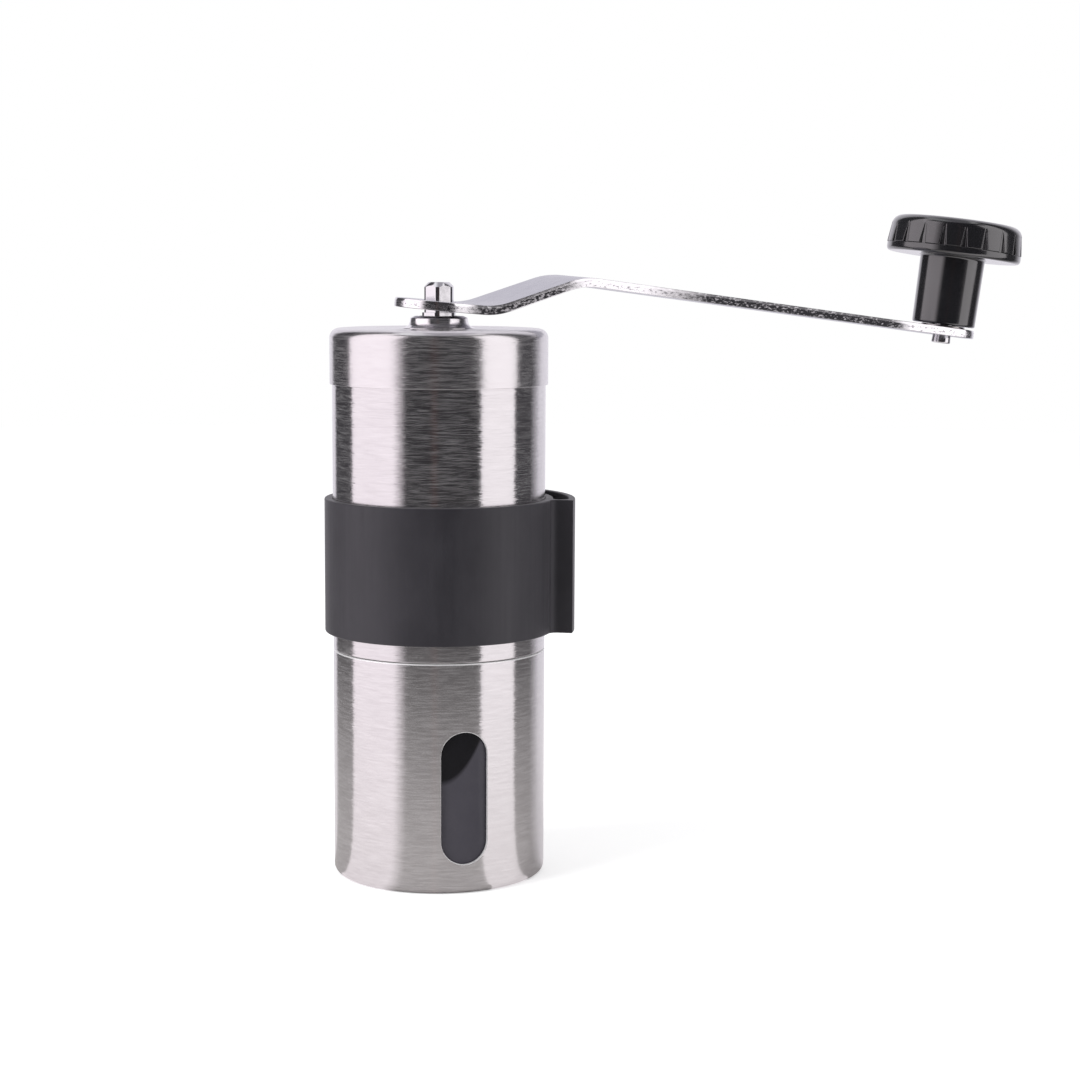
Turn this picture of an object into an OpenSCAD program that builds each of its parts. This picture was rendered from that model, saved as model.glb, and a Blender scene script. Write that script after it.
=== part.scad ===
// Hand crank coffee grinder: steel cup and tube, ceramic cone burrs, strip crank with a fluted knob.
// Millimetres. The axis of the body is Z, the resting plane is Z = 0, and the cup window faces -Y.

/* [Body] */
// Outer diameter of the cup and of the body tube
body_d = 49; // [47:0.5:56]
// Sheet thickness of the cup and of the body tube
body_wall = 0.8; // [0.6:0.1:1.2]
// Height of the grounds cup
cup_h = 52.6; // [50:0.2:64]
// Length of the body tube above the cup
tube_h = 68.75; // [66:0.25:84]
// Gap at the seam between the cup and the tube
seam_gap = 0.15; // [0.1:0.05:0.4]
// Outer radius of the pressed corner at the foot of the cup
foot_round = 1.7; // [1.3:0.1:3]
// Diameter of the ring pressed into the underside of the cup
foot_ring_d = 36; // [20:1:40]
// Width of the ring pressed into the underside of the cup
foot_ring_w = 1.2; // [0.6:0.1:2]
// Depth of the ring pressed into the underside of the cup
foot_ring_depth = 0.25; // [0.1:0.05:0.4]
// Bevel on the open ends of the cup and of the tube
end_bevel = 0.2; // [0.1:0.05:0.3]

/* [Cup window] */
// Width of the window slot
window_w = 10.6; // [6:0.2:14]
// Height of the window slot, over its round ends
window_h = 30.2; // [18:0.2:34]
// Height of the middle of the window above the resting plane
window_mid_z = 21.9; // [19.5:0.1:25]
// Turn of the window from the front towards +X, in degrees
window_turn = 13.5; // [0:0.5:45]

/* [Cup liner] */
// Wall of the clear liner behind the window
liner_wall = 1; // [0.8:0.1:1.6]
// Radial gap between the liner and the cup
liner_gap = 0.15; // [0.1:0.05:0.4]
// Gap between the top of the liner and the burr housing
liner_top_gap = 0.5; // [0.3:0.1:2]

/* [Lid] */
// Sheet thickness of the side of the lid
lid_wall = 0.45; // [0.35:0.05:0.8]
// Height of the lid
lid_h = 12.7; // [11.5:0.1:16]
// Thickness of the flat top of the lid
lid_top_wall = 0.6; // [0.4:0.1:1]
// Outer radius of the corner round the top of the lid
lid_round = 2.2; // [1.2:0.1:3]
// Length of the tube that the lid covers
lid_lap = 7.8; // [6:0.1:8.5]
// Radial gap between the lid and the tube
lid_gap = 0.1; // [0.05:0.01:0.2]

/* [Lid collar] */
// Diameter of the flared foot of the collar
collar_foot_d = 16.6; // [14.4:0.1:18]
// Diameter of the collar
collar_d = 13.2; // [12:0.1:13.6]
// Diameter of the flat top of the collar
collar_top_d = 11.2; // [10.4:0.1:11.8]
// Height of the collar above the lid
collar_h = 2.8; // [2.2:0.1:5]
// Height of the thin edge of the flared foot
collar_foot_h = 0.1; // [0.1:0.05:0.4]
// Height of the bevel round the top of the collar
collar_bevel_h = 0.45; // [0.3:0.05:0.8]
// Diameter of the hole through the collar
collar_bore_d = 9; // [8.6:0.1:9.4]
// Diameter of the collar where it passes through the lid
collar_neck_d = 10.6; // [10.2:0.1:11]
// Diameter of the flange that clinches the collar under the lid
collar_clinch_d = 13; // [12:0.1:15]
// Thickness of that flange
collar_clinch_h = 0.7; // [0.5:0.1:0.8]

/* [Lid liner] */
// Wall of the skirt that plugs the tube
plug_wall = 1.4; // [1:0.1:2.5]
// Length of the skirt inside the tube
plug_h = 4.5; // [2:0.1:6]
// Thickness of the disc of the liner
plug_disc_h = 1.6; // [1.2:0.1:2]
// Thickness of the rim that lies on the end of the tube
plug_rim_h = 1.2; // [0.8:0.1:1.6]

/* [Shaft] */
// Diameter of the round shaft
shaft_d = 8; // [7.8:0.05:8.2]
// Width across the flats of the hexagon under the crank
shaft_hex = 7.4; // [7.2:0.05:7.6]
// Width across the flats of the drive hexagon that takes the crank
drive_hex = 6.42; // [6:0.02:6.6]
// Diameter of the bar that the drive hexagon is cut from
drive_bar_d = 7; // [6.8:0.05:7.2]
// Height of the drive hexagon
drive_hex_h = 6.9; // [6:0.1:12]
// Height of the shoulder under the crank above the collar
shoulder_rise = 0.8; // [0.2:0.1:2]
// Length of the lower hexagon
lower_hex_h = 5; // [2:0.1:8]
// Bevel on the tip of the shaft
shaft_bevel = 1.1; // [0.4:0.1:1.4]
// Width across the two flats that drive the inner burr
flat_w = 6; // [5.6:0.1:6.6]
// Diameter of the threaded end for the grind adjuster
thread_d = 6; // [5:0.1:6.2]
// Rise of the thread in one turn, which is the travel of the inner burr
thread_rise = 1; // [0.5:0.05:1.2]
// Length of the threaded end below the adjuster
thread_tail = 1.5; // [0.5:0.1:2]
// Thread left above the adjuster when it stands one turn up
thread_spare = 1; // [0.6:0.1:1.2]

/* [Grip band] */
// Thickness of the rubber band
band_wall = 1.9; // [1.2:0.05:2.5]
// Height of the rubber band
band_h = 30.8; // [20:0.2:40]
// Height of the band above the lower end of the tube
band_rise = 4; // [1:0.1:12]
// Gap between the band and the tube
band_gap = 0.05; // [0.02:0.01:0.1]
// Outer radius of the loop that stores the crank, beyond the tube
loop_reach = 6.95; // [6:0.05:9]
// Thickness of the wall of the loop
loop_wall = 1.5; // [1.2:0.05:1.8]
// Half of the angle that the loop spans
loop_half = 27; // [22:1:34]
// Radius of the fillet where the loop leaves the band
loop_fillet = 1.8; // [0.6:0.1:3]

/* [Hopper bridge] */
// Diameter of the hub of the bridge
bridge_hub_d = 16; // [14.6:0.2:20]
// Height of the hub of the bridge
bridge_hub_h = 10; // [8:0.5:14]
// Height of the ring of the bridge
bridge_ring_h = 6; // [3:0.5:8]
// Wall of the ring of the bridge
bridge_wall = 2; // [1.4:0.1:3]
// Width of each arm of the bridge
bridge_arm_w = 3.4; // [2:0.2:5]
// Number of arms of the bridge and of the housing
arm_count = 3; // [3:1:4]
// Distance of the bridge below the upper end of the tube
bridge_drop = 9; // [7.5:0.1:12]

/* [Bushes] */
// Outer diameter of both shaft bushes
bush_d = 11.6; // [11:0.1:12.4]
// Diameter of the flange of both bushes
bush_flange_d = 14; // [12.8:0.1:14.4]
// Thickness of the flange of both bushes
bush_flange_h = 1; // [0.6:0.1:1.6]
// Radial gap between a shaft and its bush
bush_gap = 0.05; // [0.02:0.01:0.1]

/* [Burr housing] */
// Length of the neck that plugs the cup
neck_h = 8.1; // [7.6:0.1:9]
// Wall of the neck
neck_wall = 1.8; // [1.4:0.1:2.4]
// Height of the housing above the lower end of the tube
housing_h = 31.2; // [30:0.2:36]
// Height of the seat of the retainer above the lower end of the tube
seat_rise = 0.3; // [0.1:0.1:1]
// Thickness of the shelf above the outer burr
shelf_h = 1.5; // [1:0.1:2.5]
// Step from the mouth of the outer burr out to the throat above it
throat_step = 0.25; // [0.1:0.05:1]
// Width of the land that the retainer screws go into, round the outer burr
screw_land = 4.22; // [4:0.02:5]
// Width of the rim round the top of the funnel
funnel_lip = 1.2; // [0.8:0.1:2]
// Diameter of the hub that holds the lower bush
housing_hub_d = 16; // [14.6:0.2:18]
// Height of the hub that holds the lower bush
housing_hub_h = 8; // [6:0.2:8.4]
// Height of that hub above the top of the housing
housing_hub_rise = 2; // [0.5:0.1:4]
// Width of each arm in the funnel
housing_arm_w = 3; // [2:0.2:5]
// Radial gap between the housing and the cup or the tube
slide_gap = 0.08; // [0.04:0.01:0.1]

/* [Outer burr] */
// Height of the outer burr
outer_burr_h = 15; // [13.5:0.1:16]
// Height of the fine teeth of the outer burr
outer_fine_h = 7; // [4:0.1:9]
// Share of the outer burr's diameter taken by its opening at the lower end
outer_low_share = 0.74; // [0.72:0.005:0.76]
// Share of that diameter taken by the opening where fine meets coarse
outer_mid_share = 0.697; // [0.69:0.001:0.71]
// Share of that diameter taken by the opening at the mouth
outer_top_share = 0.711; // [0.7:0.001:0.72]
// Depth of the fine teeth of both burrs
fine_depth = 0.6; // [0.3:0.05:1]
// Depth of the coarse grooves of the outer burr
outer_groove = 1.6; // [0.8:0.1:2.4]
// Number of fine teeth on both burrs
fine_count = 36; // [24:1:48]
// Number of coarse grooves in the outer burr
groove_count = 9; // [6:1:12]
// Radius of the key ribs that stop the outer burr turning
key_r = 1.4; // [0.8:0.1:2]

/* [Inner burr] */
// Height of the inner burr
inner_burr_h = 17; // [15:0.2:17.6]
// Height of the fine teeth of the inner burr
inner_fine_h = 8; // [5:0.1:10]
// Gap between the teeth of the two burrs at the lower end
low_tooth_gap = 0.2; // [0.15:0.01:0.4]
// Gap between the teeth of the two burrs where fine meets coarse
mid_tooth_gap = 0.3; // [0.25:0.01:0.6]
// Thickness of the inner burr over its ridges at the upper end
inner_top_wall = 2.2; // [2:0.1:3]
// Share of the burr's radius taken by the depth of the coarse ridges, at their lower end
ridge_share = 0.2; // [0.1:0.01:0.22]
// Number of coarse ridges
ridge_count = 6; // [4:1:8]
// Turn of the coarse ridges from end to end, in degrees
ridge_turn = 62; // [30:1:80]
// Turn of the fine teeth from end to end, in degrees
fine_turn = 9; // [4:1:14]
// Diameter of the bore of the inner burr
inner_bore_d = 11; // [10.6:0.1:11.4]

/* [Burr driver] */
// Length of the sleeve of the driver
driver_h = 11; // [8:0.1:12]
// Diameter of the flange of the driver
driver_flange_d = 13.6; // [12.8:0.1:15]
// Thickness of the flange of the driver
driver_flange_h = 1.5; // [1:0.1:2]
// Width of the cross key under the flange
driver_key_w = 3; // [2:0.1:4]
// Depth of the cross key under the flange
driver_key_h = 1.5; // [1:0.1:2]

/* [Burr spring] */
// Diameter of the spring wire
wire_d = 0.9; // [0.6:0.05:1]
// Mean diameter of the spring
spring_d = 11; // [10.4:0.1:11.6]
// Number of curls of the spring
curls = 3; // [2:0.5:3]

/* [Grind adjuster] */
// Share of the hole in the retainer taken by the adjuster, over its points
dial_share = 0.789; // [0.6:0.001:0.85]
// Height of the adjuster
dial_h = 6; // [5:0.1:6.2]
// Number of scallops round the adjuster
dial_scallops = 12; // [8:1:16]
// Radius of each scallop as a share of the adjuster's diameter
scallop_share = 0.076; // [0.05:0.001:0.09]
// Width across the flats of the threaded insert
insert_hex = 10; // [9:0.1:12]
// Height of the threaded insert
insert_h = 4.2; // [3:0.1:4.6]
// Width of the click grooves in the top of the adjuster
click_w = 1; // [0.6:0.1:1.4]
// Depth of the click grooves
click_depth = 0.4; // [0.2:0.05:0.6]

/* [Burr retainer] */
// Step from the teeth of the outer burr out to the hole in the retainer
retainer_step = 1.25; // [0.8:0.05:1.6]
// Thickness of the flange of the retainer
retainer_h = 2; // [1.4:0.1:2.2]
// Height of the boss that carries the outer burr
retainer_boss_h = 2; // [1.6:0.1:2.2]
// Number of screws that hold the retainer
screw_count = 3; // [3:1:4]
// Diameter of the screw shanks
screw_d = 2; // [1.6:0.1:2.2]
// Diameter of the screw heads
screw_head_d = 3.6; // [3:0.1:3.8]
// Height of the screw heads
screw_head_h = 1.3; // [1:0.1:1.4]
// Length of the screws under the head
screw_l = 8; // [6:0.1:10]
// Width of the driver slot in the screw heads
screw_slot_w = 0.6; // [0.4:0.05:0.8]
// Depth of the driver slot in the screw heads
screw_slot_depth = 0.6; // [0.4:0.05:0.8]

/* [Washer and clip] */
// Thickness of the thrust washer above the spring
washer_h = 0.7; // [0.5:0.05:0.8]
// Diameter of the thrust washer
washer_d = 14; // [12.6:0.1:15]
// Thickness of the shaft clip
clip_h = 0.8; // [0.6:0.05:1]
// Outer diameter of the shaft clip
clip_d = 12.4; // [11:0.1:13.6]
// Depth of the groove for the clip
groove_depth = 0.6; // [0.4:0.05:0.8]
// Opening of the clip, in degrees
clip_open = 70; // [40:5:100]

/* [Crank arm] */
// Turn of the crank from +X towards +Y, in degrees
crank_angle = 23.5; // [0:0.5:45]
// Thickness of the strip
arm_t = 2.1; // [1.6:0.1:2.4]
// Radius of the end round the shaft
arm_hub_r = 10.2; // [8:0.1:13]
// Radius of the end under the knob
arm_tip_r = 8; // [7:0.1:11]
// Droop of the arm on its loose hexagon, in degrees
arm_droop = 4.7; // [3:0.1:5]
// Roll of the arm about its own length on its loose hexagon, front edge down, in degrees
arm_roll = 1.9; // [0:0.1:2.5]
// Distance from the shaft to the first bend
bend_one_x = 10.2; // [9.4:0.1:14]
// Angle of the ramp to the hub, in degrees
ramp_angle = 21.9; // [10:0.1:30]
// Length of the ramp between the bends
ramp_l = 23.1; // [16:0.1:30]
// Angle of the long part to the hub, in degrees
long_angle = 2.2; // [0:0.2:6]
// Length of the long part from the second bend to the knob
long_l = 108.5; // [80:0.1:130]
// Radius of the bends, inside
bend_r = 17; // [5:0.5:20]
// Gap between the drive hexagon and its hole, all told
hex_play = 0.5; // [0.4:0.05:0.6]
// Height of the arm above the shoulder of the shaft, at the middle of the strip
arm_seat = 1.55; // [1.45:0.05:2]

/* [Knob] */
// Diameter of the stem at its foot
stem_d = 15.9; // [13:0.1:19]
// Diameter of the stem under the head
stem_top_d = 16.3; // [13:0.1:20]
// Height of the stem
stem_h = 17.2; // [12:0.1:26]
// Radius of the edge at the foot of the stem
stem_round = 0.5; // [0.2:0.1:1]
// Diameter of the head over its pads, at their foot
head_d = 34; // [28:0.1:44]
// Height of the head
head_h = 9.2; // [8.5:0.1:14]
// Radius of the upper edge of the head
head_round = 2.6; // [1.5:0.1:3]
// Radius of the lower edge of the head
bead_round = 1; // [0.5:0.1:1.2]
// Height of the plain bead under the pads
bead_h = 2.1; // [1.6:0.1:3]
// Height of the grip pads
pad_h = 5.1; // [3:0.1:6]
// How far the pads stand out at their foot
pad_proud = 0.55; // [0.3:0.05:1]
// How far the pads stand out at their top
pad_top_proud = 0.1; // [0.1:0.05:0.4]
// Number of pads
pad_count = 20; // [12:1:26]
// Width of the notch between two pads, at its foot
notch_w = 1.5; // [0.8:0.1:2]
// Width of the notch between two pads, at its top
notch_top_w = 0.5; // [0.2:0.1:1]
// Turn of the pads on the knob at rest, in degrees
pad_turn = 8; // [0:0.5:18]

/* [Knob bolt] */
// Diameter of the bolt where it is riveted through the arm
rivet_d = 4.6; // [3.6:0.1:5]
// Diameter of the flared end of the rivet
rivet_flare_d = 4.9; // [4.7:0.1:6]
// Length of the rivet under the arm
rivet_tail = 2; // [1:0.1:3]
// Diameter of the part that the knob turns on
bolt_d = 6; // [5.4:0.1:7]
// Radial gap between the knob and the bolt
knob_gap = 0.08; // [0.04:0.01:0.1]
// Diameter of the bolt head
bolt_head_d = 10; // [8:0.1:11]
// Height of the bolt head
bolt_head_h = 2.4; // [1.5:0.1:3]
// Diameter of the recess for the bolt head
recess_d = 11.6; // [11.2:0.1:13]
// Depth of the knob's seat for the bolt head, above the foot of the head
recess_rise = 3; // [2:0.1:4]
// Diameter of the cap in the top of the knob
cap_d = 18; // [15:0.1:22]
// Thickness of the cap
cap_h = 1.8; // [1:0.1:2]
// Thickness of the washer under the knob
knob_washer_h = 0.5; // [0.3:0.05:0.8]
// Diameter of the washer under the knob
knob_washer_d = 11; // [8:0.1:13]

/* [Clearances] */
// Gap left between pieces that are fixed to one another
fit_gap = 0.05; // [0.02:0.01:0.1]
// Gap left between faces that turn on one another
run_gap = 0.1; // [0.05:0.01:0.2]

/* [Hidden] */

$fn = 96;
// Overrun of every cut past the face that it starts from
over = body_wall;

// Radii of the shells
body_r = body_d / 2;
bore_r = body_r - body_wall;
core_r = bore_r - slide_gap;
lid_in_r = body_r + lid_gap;
lid_r = lid_in_r + lid_wall;
shaft_r = shaft_d / 2;

// Heights of the shells
tube_z0 = cup_h + seam_gap;
tube_z1 = tube_z0 + tube_h;
lid_z0 = tube_z1 - lid_lap;
lid_z1 = lid_z0 + lid_h;
lid_under = lid_z1 - lid_top_wall;
collar_z1 = lid_z1 + collar_h;
shoulder_z = collar_z1 + shoulder_rise;
tip_z = shoulder_z + drive_hex_h;
band_z0 = tube_z0 + band_rise;

// Heights in the housing, from the neck up
neck_z0 = cup_h - neck_h;
seat_z0 = tube_z0 + seat_rise;
burr_z0 = seat_z0 + retainer_boss_h;
burr_z1 = burr_z0 + outer_burr_h;
shelf_z1 = burr_z1 + shelf_h;
housing_z1 = tube_z0 + housing_h;
hub_z1 = housing_z1 + housing_hub_rise;
hub_z0 = hub_z1 - housing_hub_h;
bridge_z1 = tube_z1 - bridge_drop;

// Heights of the drive
inner_z0 = seat_z0;
inner_z1 = inner_z0 + inner_burr_h;
driver_z1 = inner_z1 + driver_flange_h;
washer_z1 = hub_z0 - run_gap;
washer_z0 = washer_z1 - washer_h;
clip_z0 = hub_z1 + bush_flange_h + run_gap;
dial_z1 = inner_z0 - run_gap;
dial_z0 = dial_z1 - dial_h;
thread_z0 = dial_z0 - thread_tail;
thread_z1 = inner_z0 + thread_rise + thread_spare;

// Radii in the housing
neck_bore_r = core_r - neck_wall;
seat_r = neck_bore_r - screw_land;
screw_r = (seat_r + neck_bore_r) / 2;
burr_key_turn = 180 / screw_count;

// Diameters of the burrs, over the tips of their teeth, and of what stands round them
outer_burr_d = 2 * (seat_r - run_gap);
outer_low_d = outer_low_share * outer_burr_d;
outer_mid_d = outer_mid_share * outer_burr_d;
outer_top_d = outer_top_share * outer_burr_d;
inner_low_d = outer_low_d - 2 * low_tooth_gap;
inner_mid_d = outer_mid_d - 2 * mid_tooth_gap;
inner_top_d = inner_bore_d + 2 * inner_top_wall;
ridge_depth = ridge_share * inner_mid_d / 2;
throat_d = outer_top_d + 2 * throat_step;
retainer_hole_d = outer_low_d + 2 * retainer_step;
dial_d = dial_share * retainer_hole_d;
scallop_r = scallop_share * dial_d;

// Places of the crank in its own plane: X along the arm, Y up from the middle of the strip
arm_mid_z = shoulder_z + arm_seat;
bend_mid_r = bend_r + arm_t / 2;
bend_one = [bend_one_x, 0];
bend_two = bend_one + ramp_l * [cos(ramp_angle), sin(ramp_angle)];
knob_at = bend_two + long_l * [cos(long_angle), -sin(long_angle)];
bend_steps = 8;
// Step between the points of a drawn arc, in degrees
arc_step = 3;

// Heights of the knob above the arm
stem_z0 = knob_washer_h + run_gap;
head_z0 = stem_z0 + stem_h;
head_z1 = head_z0 + head_h;
pad_z0 = head_z0 + bead_h;
bolt_seat_z = head_z0 + recess_rise;
head_r = head_d / 2;
drum_r = head_r - pad_proud;

// Shares of the pitch and of the depth along one coarse ridge of the inner burr
ridge_shares = [[0, 0], [0.16, 0], [0.3, 0.65], [0.55, 1], [0.8, 0.75]];
// Shares of the pitch and of the depth along one coarse groove of the outer burr
groove_shares = [[0, 0], [0.3, 0], [0.42, 1], [0.7, 0.9]];
// Share of the pitch of a fine tooth taken by its land, and where its sheer face ends
land_share = 0.25;
sheer_share = 0.32;
// Share of its radius by which a scallop's centre lies outside the adjuster
scallop_out_share = 0.4;
// Share of the shaft's radius taken by the core that joins its sections
core_share = 0.5;

// Half outline of a can from the axis to r, with its lower corner rounded to c
module can_outline(r, h, c) {
    square([r - c, h]);
    translate([0, c])
        square([r, h - c]);
    translate([r - c, c])
        circle(r = c);
}

// Cut that bevels an outer edge at radius r and height z; dir is 1 for an upper end, -1 for a lower one
module end_bevel_cut(r, z, dir) {
    translate([r, z])
        polygon([[-end_bevel, 0], [0, -dir * end_bevel], [over, -dir * end_bevel],
            [over, dir * over], [-end_bevel, dir * over]]);
}

// Ring from z0 up by h between two radii
module ring(r_in, r_out, z0, h) {
    rotate_extrude()
        translate([r_in, z0])
            square([r_out - r_in, h]);
}

// Round bore along the axis from z0 up by h
module bore(r, z0, h) {
    translate([0, 0, z0 - over])
        cylinder(r = r, h = h + 2 * over);
}

// Copies of its child, n times round the axis
module around(n, turn = 0) {
    for (i = [0 : n - 1])
        rotate([0, 0, turn + i * 360 / n])
            children();
}

// Outline of n saw teeth between the radius of the tips and that of the roots
function saw_points(n, tip, root) = [
    for (i = [0 : n - 1])
        let (a = i * 360 / n, p = 360 / n)
            each [
                tip * [cos(a), sin(a)],
                tip * [cos(a + land_share * p), sin(a + land_share * p)],
                root * [cos(a + sheer_share * p), sin(a + sheer_share * p)]
            ]
];

// Outline of n ridges that go from radius r inwards or outwards by depth, after a table of shares
function ridge_points(n, r, depth, shares) = [
    for (i = [0 : n - 1], s = shares)
        let (a = (i + s[0]) * 360 / n)
            (r + depth * s[1]) * [cos(a), sin(a)]
];

module cup_shell() {
    color("silver")
        difference() {
            rotate_extrude()
                difference() {
                    can_outline(body_r, cup_h, foot_round);
                    translate([0, body_wall])
                        can_outline(bore_r, cup_h, foot_round - body_wall);
                    end_bevel_cut(body_r, cup_h, 1);
                    translate([foot_ring_d / 2 - foot_ring_w, -over])
                        square([foot_ring_w, over + foot_ring_depth]);
                }
            window_cut();
        }
}

// Slot with round ends, cut through the front wall of the cup
module window_cut() {
    straight = window_h - window_w;
    reach = body_r / 2 + over;
    rotate([0, 0, window_turn])
        translate([0, -body_r / 2, window_mid_z])
            rotate([90, 0, 0]) {
                for (side = [-1, 1])
                    translate([0, side * straight / 2, 0])
                        cylinder(d = window_w, h = reach);
                translate([-window_w / 2, -straight / 2, 0])
                    cube([window_w, straight, reach]);
            }
}

module cup_liner() {
    liner_r = bore_r - liner_gap;
    liner_z0 = body_wall + fit_gap;
    color([0.25, 0.24, 0.27, 0.6])
        rotate_extrude()
            translate([0, liner_z0])
                difference() {
                    can_outline(liner_r, neck_z0 - liner_top_gap - liner_z0, foot_round);
                    translate([0, liner_wall])
                        can_outline(liner_r - liner_wall, cup_h, foot_round - liner_wall);
                }
}

module body_tube() {
    color("silver")
        rotate_extrude()
            difference() {
                translate([bore_r, tube_z0])
                    square([body_wall, tube_h]);
                end_bevel_cut(body_r, tube_z0, -1);
                end_bevel_cut(body_r, tube_z1, 1);
            }
}

// Wedge from the axis that spans the angle half on each side of +X, out past radius r
module wedge(half, r) {
    polygon([[0, 0], r * [1, -tan(half)], r * [1, tan(half)]]);
}

// Points along an arc round centre, from angle a0 to angle a1
function arc_points(centre, r, a0, a1) =
    let (steps = ceil(abs(a1 - a0) / arc_step))
        [
            for (i = [0 : steps])
                let (a = a0 + (a1 - a0) * i / steps)
                    centre + r * [cos(a), sin(a)]
        ];

// Outline of the band from above: the band, the loop, and a fillet at each end of the loop
function band_points(band_r, loop_r) =
    let (
        fillet_at = band_r + loop_fillet,
        off = asin(loop_fillet / fillet_at),
        turn = loop_half + off,
        near = fillet_at * [cos(turn), -sin(turn)],
        far = fillet_at * [cos(turn), sin(turn)]
    )
        concat(
            arc_points([0, 0], loop_r, -loop_half, loop_half),
            arc_points(far, loop_fillet, loop_half - 90, turn - 180),
            arc_points([0, 0], band_r, turn + arc_step, 360 - turn - arc_step),
            arc_points(near, loop_fillet, 180 - turn, 90 - loop_half)
        );

module grip_band() {
    band_r = body_r + band_wall;
    loop_r = body_r + loop_reach;
    end_a = asin(loop_wall / loop_r);
    slot_half = loop_half - end_a;
    color([0.16, 0.155, 0.16])
        translate([0, 0, band_z0])
            rotate([0, 0, window_turn])
                linear_extrude(height = band_h)
                    difference() {
                        polygon(band_points(band_r, loop_r));
                        circle(r = body_r + band_gap);
                        polygon(concat(
                            arc_points([0, 0], loop_r - loop_wall, -slot_half, slot_half),
                            arc_points([0, 0], band_r, slot_half, -slot_half)
                        ));
                    }
}

// Arm of a spider, from the hub bore to the wall: its upper edge falls from z1 to out_z1 and its
// lower edge rises from z0 to out_z0
module spider_arm(w, r_out, z0, z1, out_z0, out_z1) {
    rotate([90, 0, 0])
        linear_extrude(height = w, center = true)
            polygon([[bush_d / 2, z0], [r_out, out_z0], [r_out, out_z1], [bush_d / 2, z1]]);
}

module burr_housing() {
    funnel_r = core_r - funnel_lip;
    color([0.13, 0.13, 0.14])
        difference() {
            union() {
                rotate_extrude()
                    difference() {
                        translate([0, neck_z0])
                            square([core_r, housing_z1 - neck_z0]);
                        translate([0, neck_z0 - over])
                            square([neck_bore_r, seat_z0 - neck_z0 + over]);
                        translate([0, seat_z0 - over])
                            square([seat_r, burr_z1 - seat_z0 + over]);
                        translate([0, burr_z1 - over])
                            square([throat_d / 2, shelf_z1 - burr_z1 + 2 * over]);
                        polygon([[0, shelf_z1], [throat_d / 2, shelf_z1], [funnel_r, housing_z1],
                            [funnel_r, housing_z1 + over], [0, housing_z1 + over]]);
                    }
                translate([0, 0, hub_z0])
                    cylinder(d = housing_hub_d, h = housing_hub_h);
                around(arm_count)
                    spider_arm(housing_arm_w, funnel_r + funnel_lip / 2, hub_z0, hub_z1, hub_z0,
                        housing_z1);
                around(screw_count, burr_key_turn)
                    translate([seat_r, 0, burr_z0])
                        cylinder(r = key_r, h = outer_burr_h + shelf_h / 2);
            }
            bore(bush_d / 2 + fit_gap, hub_z0, housing_hub_h);
            around(screw_count)
                translate([screw_r, 0, seat_z0 - over])
                    cylinder(r = screw_d / 2 + fit_gap, h = screw_l - retainer_h + 2 * over);
        }
}

module hopper_bridge() {
    hub_low = bridge_z1 - bridge_hub_h;
    ring_low = bridge_z1 - bridge_ring_h;
    color([0.13, 0.13, 0.14])
        difference() {
            union() {
                ring(core_r - bridge_wall, core_r, ring_low, bridge_ring_h);
                translate([0, 0, hub_low])
                    cylinder(d = bridge_hub_d, h = bridge_hub_h);
                around(arm_count, 180)
                    spider_arm(bridge_arm_w, core_r - bridge_wall / 2, hub_low, bridge_z1, ring_low,
                        bridge_z1);
            }
            bore(bush_d / 2 + fit_gap, hub_low, bridge_hub_h);
        }
}

// Flanged bush whose flange lies on the hub that ends at z1
module bush(z1, h) {
    color("goldenrod")
        difference() {
            union() {
                translate([0, 0, z1 - h])
                    cylinder(d = bush_d, h = h);
                translate([0, 0, z1])
                    cylinder(d = bush_flange_d, h = bush_flange_h);
            }
            bore(shaft_r + bush_gap, z1 - h, h + bush_flange_h);
        }
}

module upper_bush() {
    bush(bridge_z1, bridge_hub_h);
}

module lower_bush() {
    bush(hub_z1, housing_hub_h);
}

module outer_burr() {
    coarse_h = outer_burr_h - outer_fine_h;
    color("white")
        difference() {
            translate([0, 0, burr_z0])
                cylinder(d = outer_burr_d, h = outer_burr_h);
            translate([0, 0, burr_z0])
                linear_extrude(height = outer_fine_h, twist = -fine_turn, slices = 3,
                        scale = outer_mid_d / outer_low_d)
                    polygon(saw_points(fine_count, outer_low_d / 2, outer_low_d / 2 + fine_depth));
            translate([0, 0, burr_z0 + outer_fine_h])
                linear_extrude(height = coarse_h, twist = -ridge_turn / 2, slices = 6,
                        scale = outer_top_d / outer_mid_d)
                    polygon(ridge_points(groove_count, outer_mid_d / 2, outer_groove,
                        groove_shares));
            around(screw_count, burr_key_turn)
                translate([seat_r, 0, burr_z0 - over])
                    cylinder(r = key_r + run_gap, h = outer_burr_h + 2 * over);
        }
}

module burr_retainer() {
    boss_r = outer_burr_d / 2 - run_gap;
    hole_r = retainer_hole_d / 2;
    color([0.13, 0.13, 0.14])
        difference() {
            union() {
                ring(hole_r, neck_bore_r - run_gap, seat_z0 - retainer_h, retainer_h);
                ring(hole_r, boss_r, seat_z0 - retainer_h, retainer_h + retainer_boss_h - fit_gap);
            }
            around(screw_count)
                translate([screw_r, 0, seat_z0 - retainer_h - over])
                    cylinder(r = screw_d / 2 + fit_gap, h = retainer_h + 2 * over);
        }
}

module retainer_screws() {
    head_top = seat_z0 - retainer_h;
    color("lightgray")
        around(screw_count)
            translate([screw_r, 0, head_top])
                difference() {
                    union() {
                        cylinder(d = screw_d, h = screw_l);
                        translate([0, 0, -screw_head_h])
                            cylinder(d = screw_head_d, h = screw_head_h);
                    }
                    translate([-screw_head_d, -screw_slot_w / 2, -screw_head_h - over])
                        cube([2 * screw_head_d, screw_slot_w, screw_slot_depth + over]);
                }
}

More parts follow.
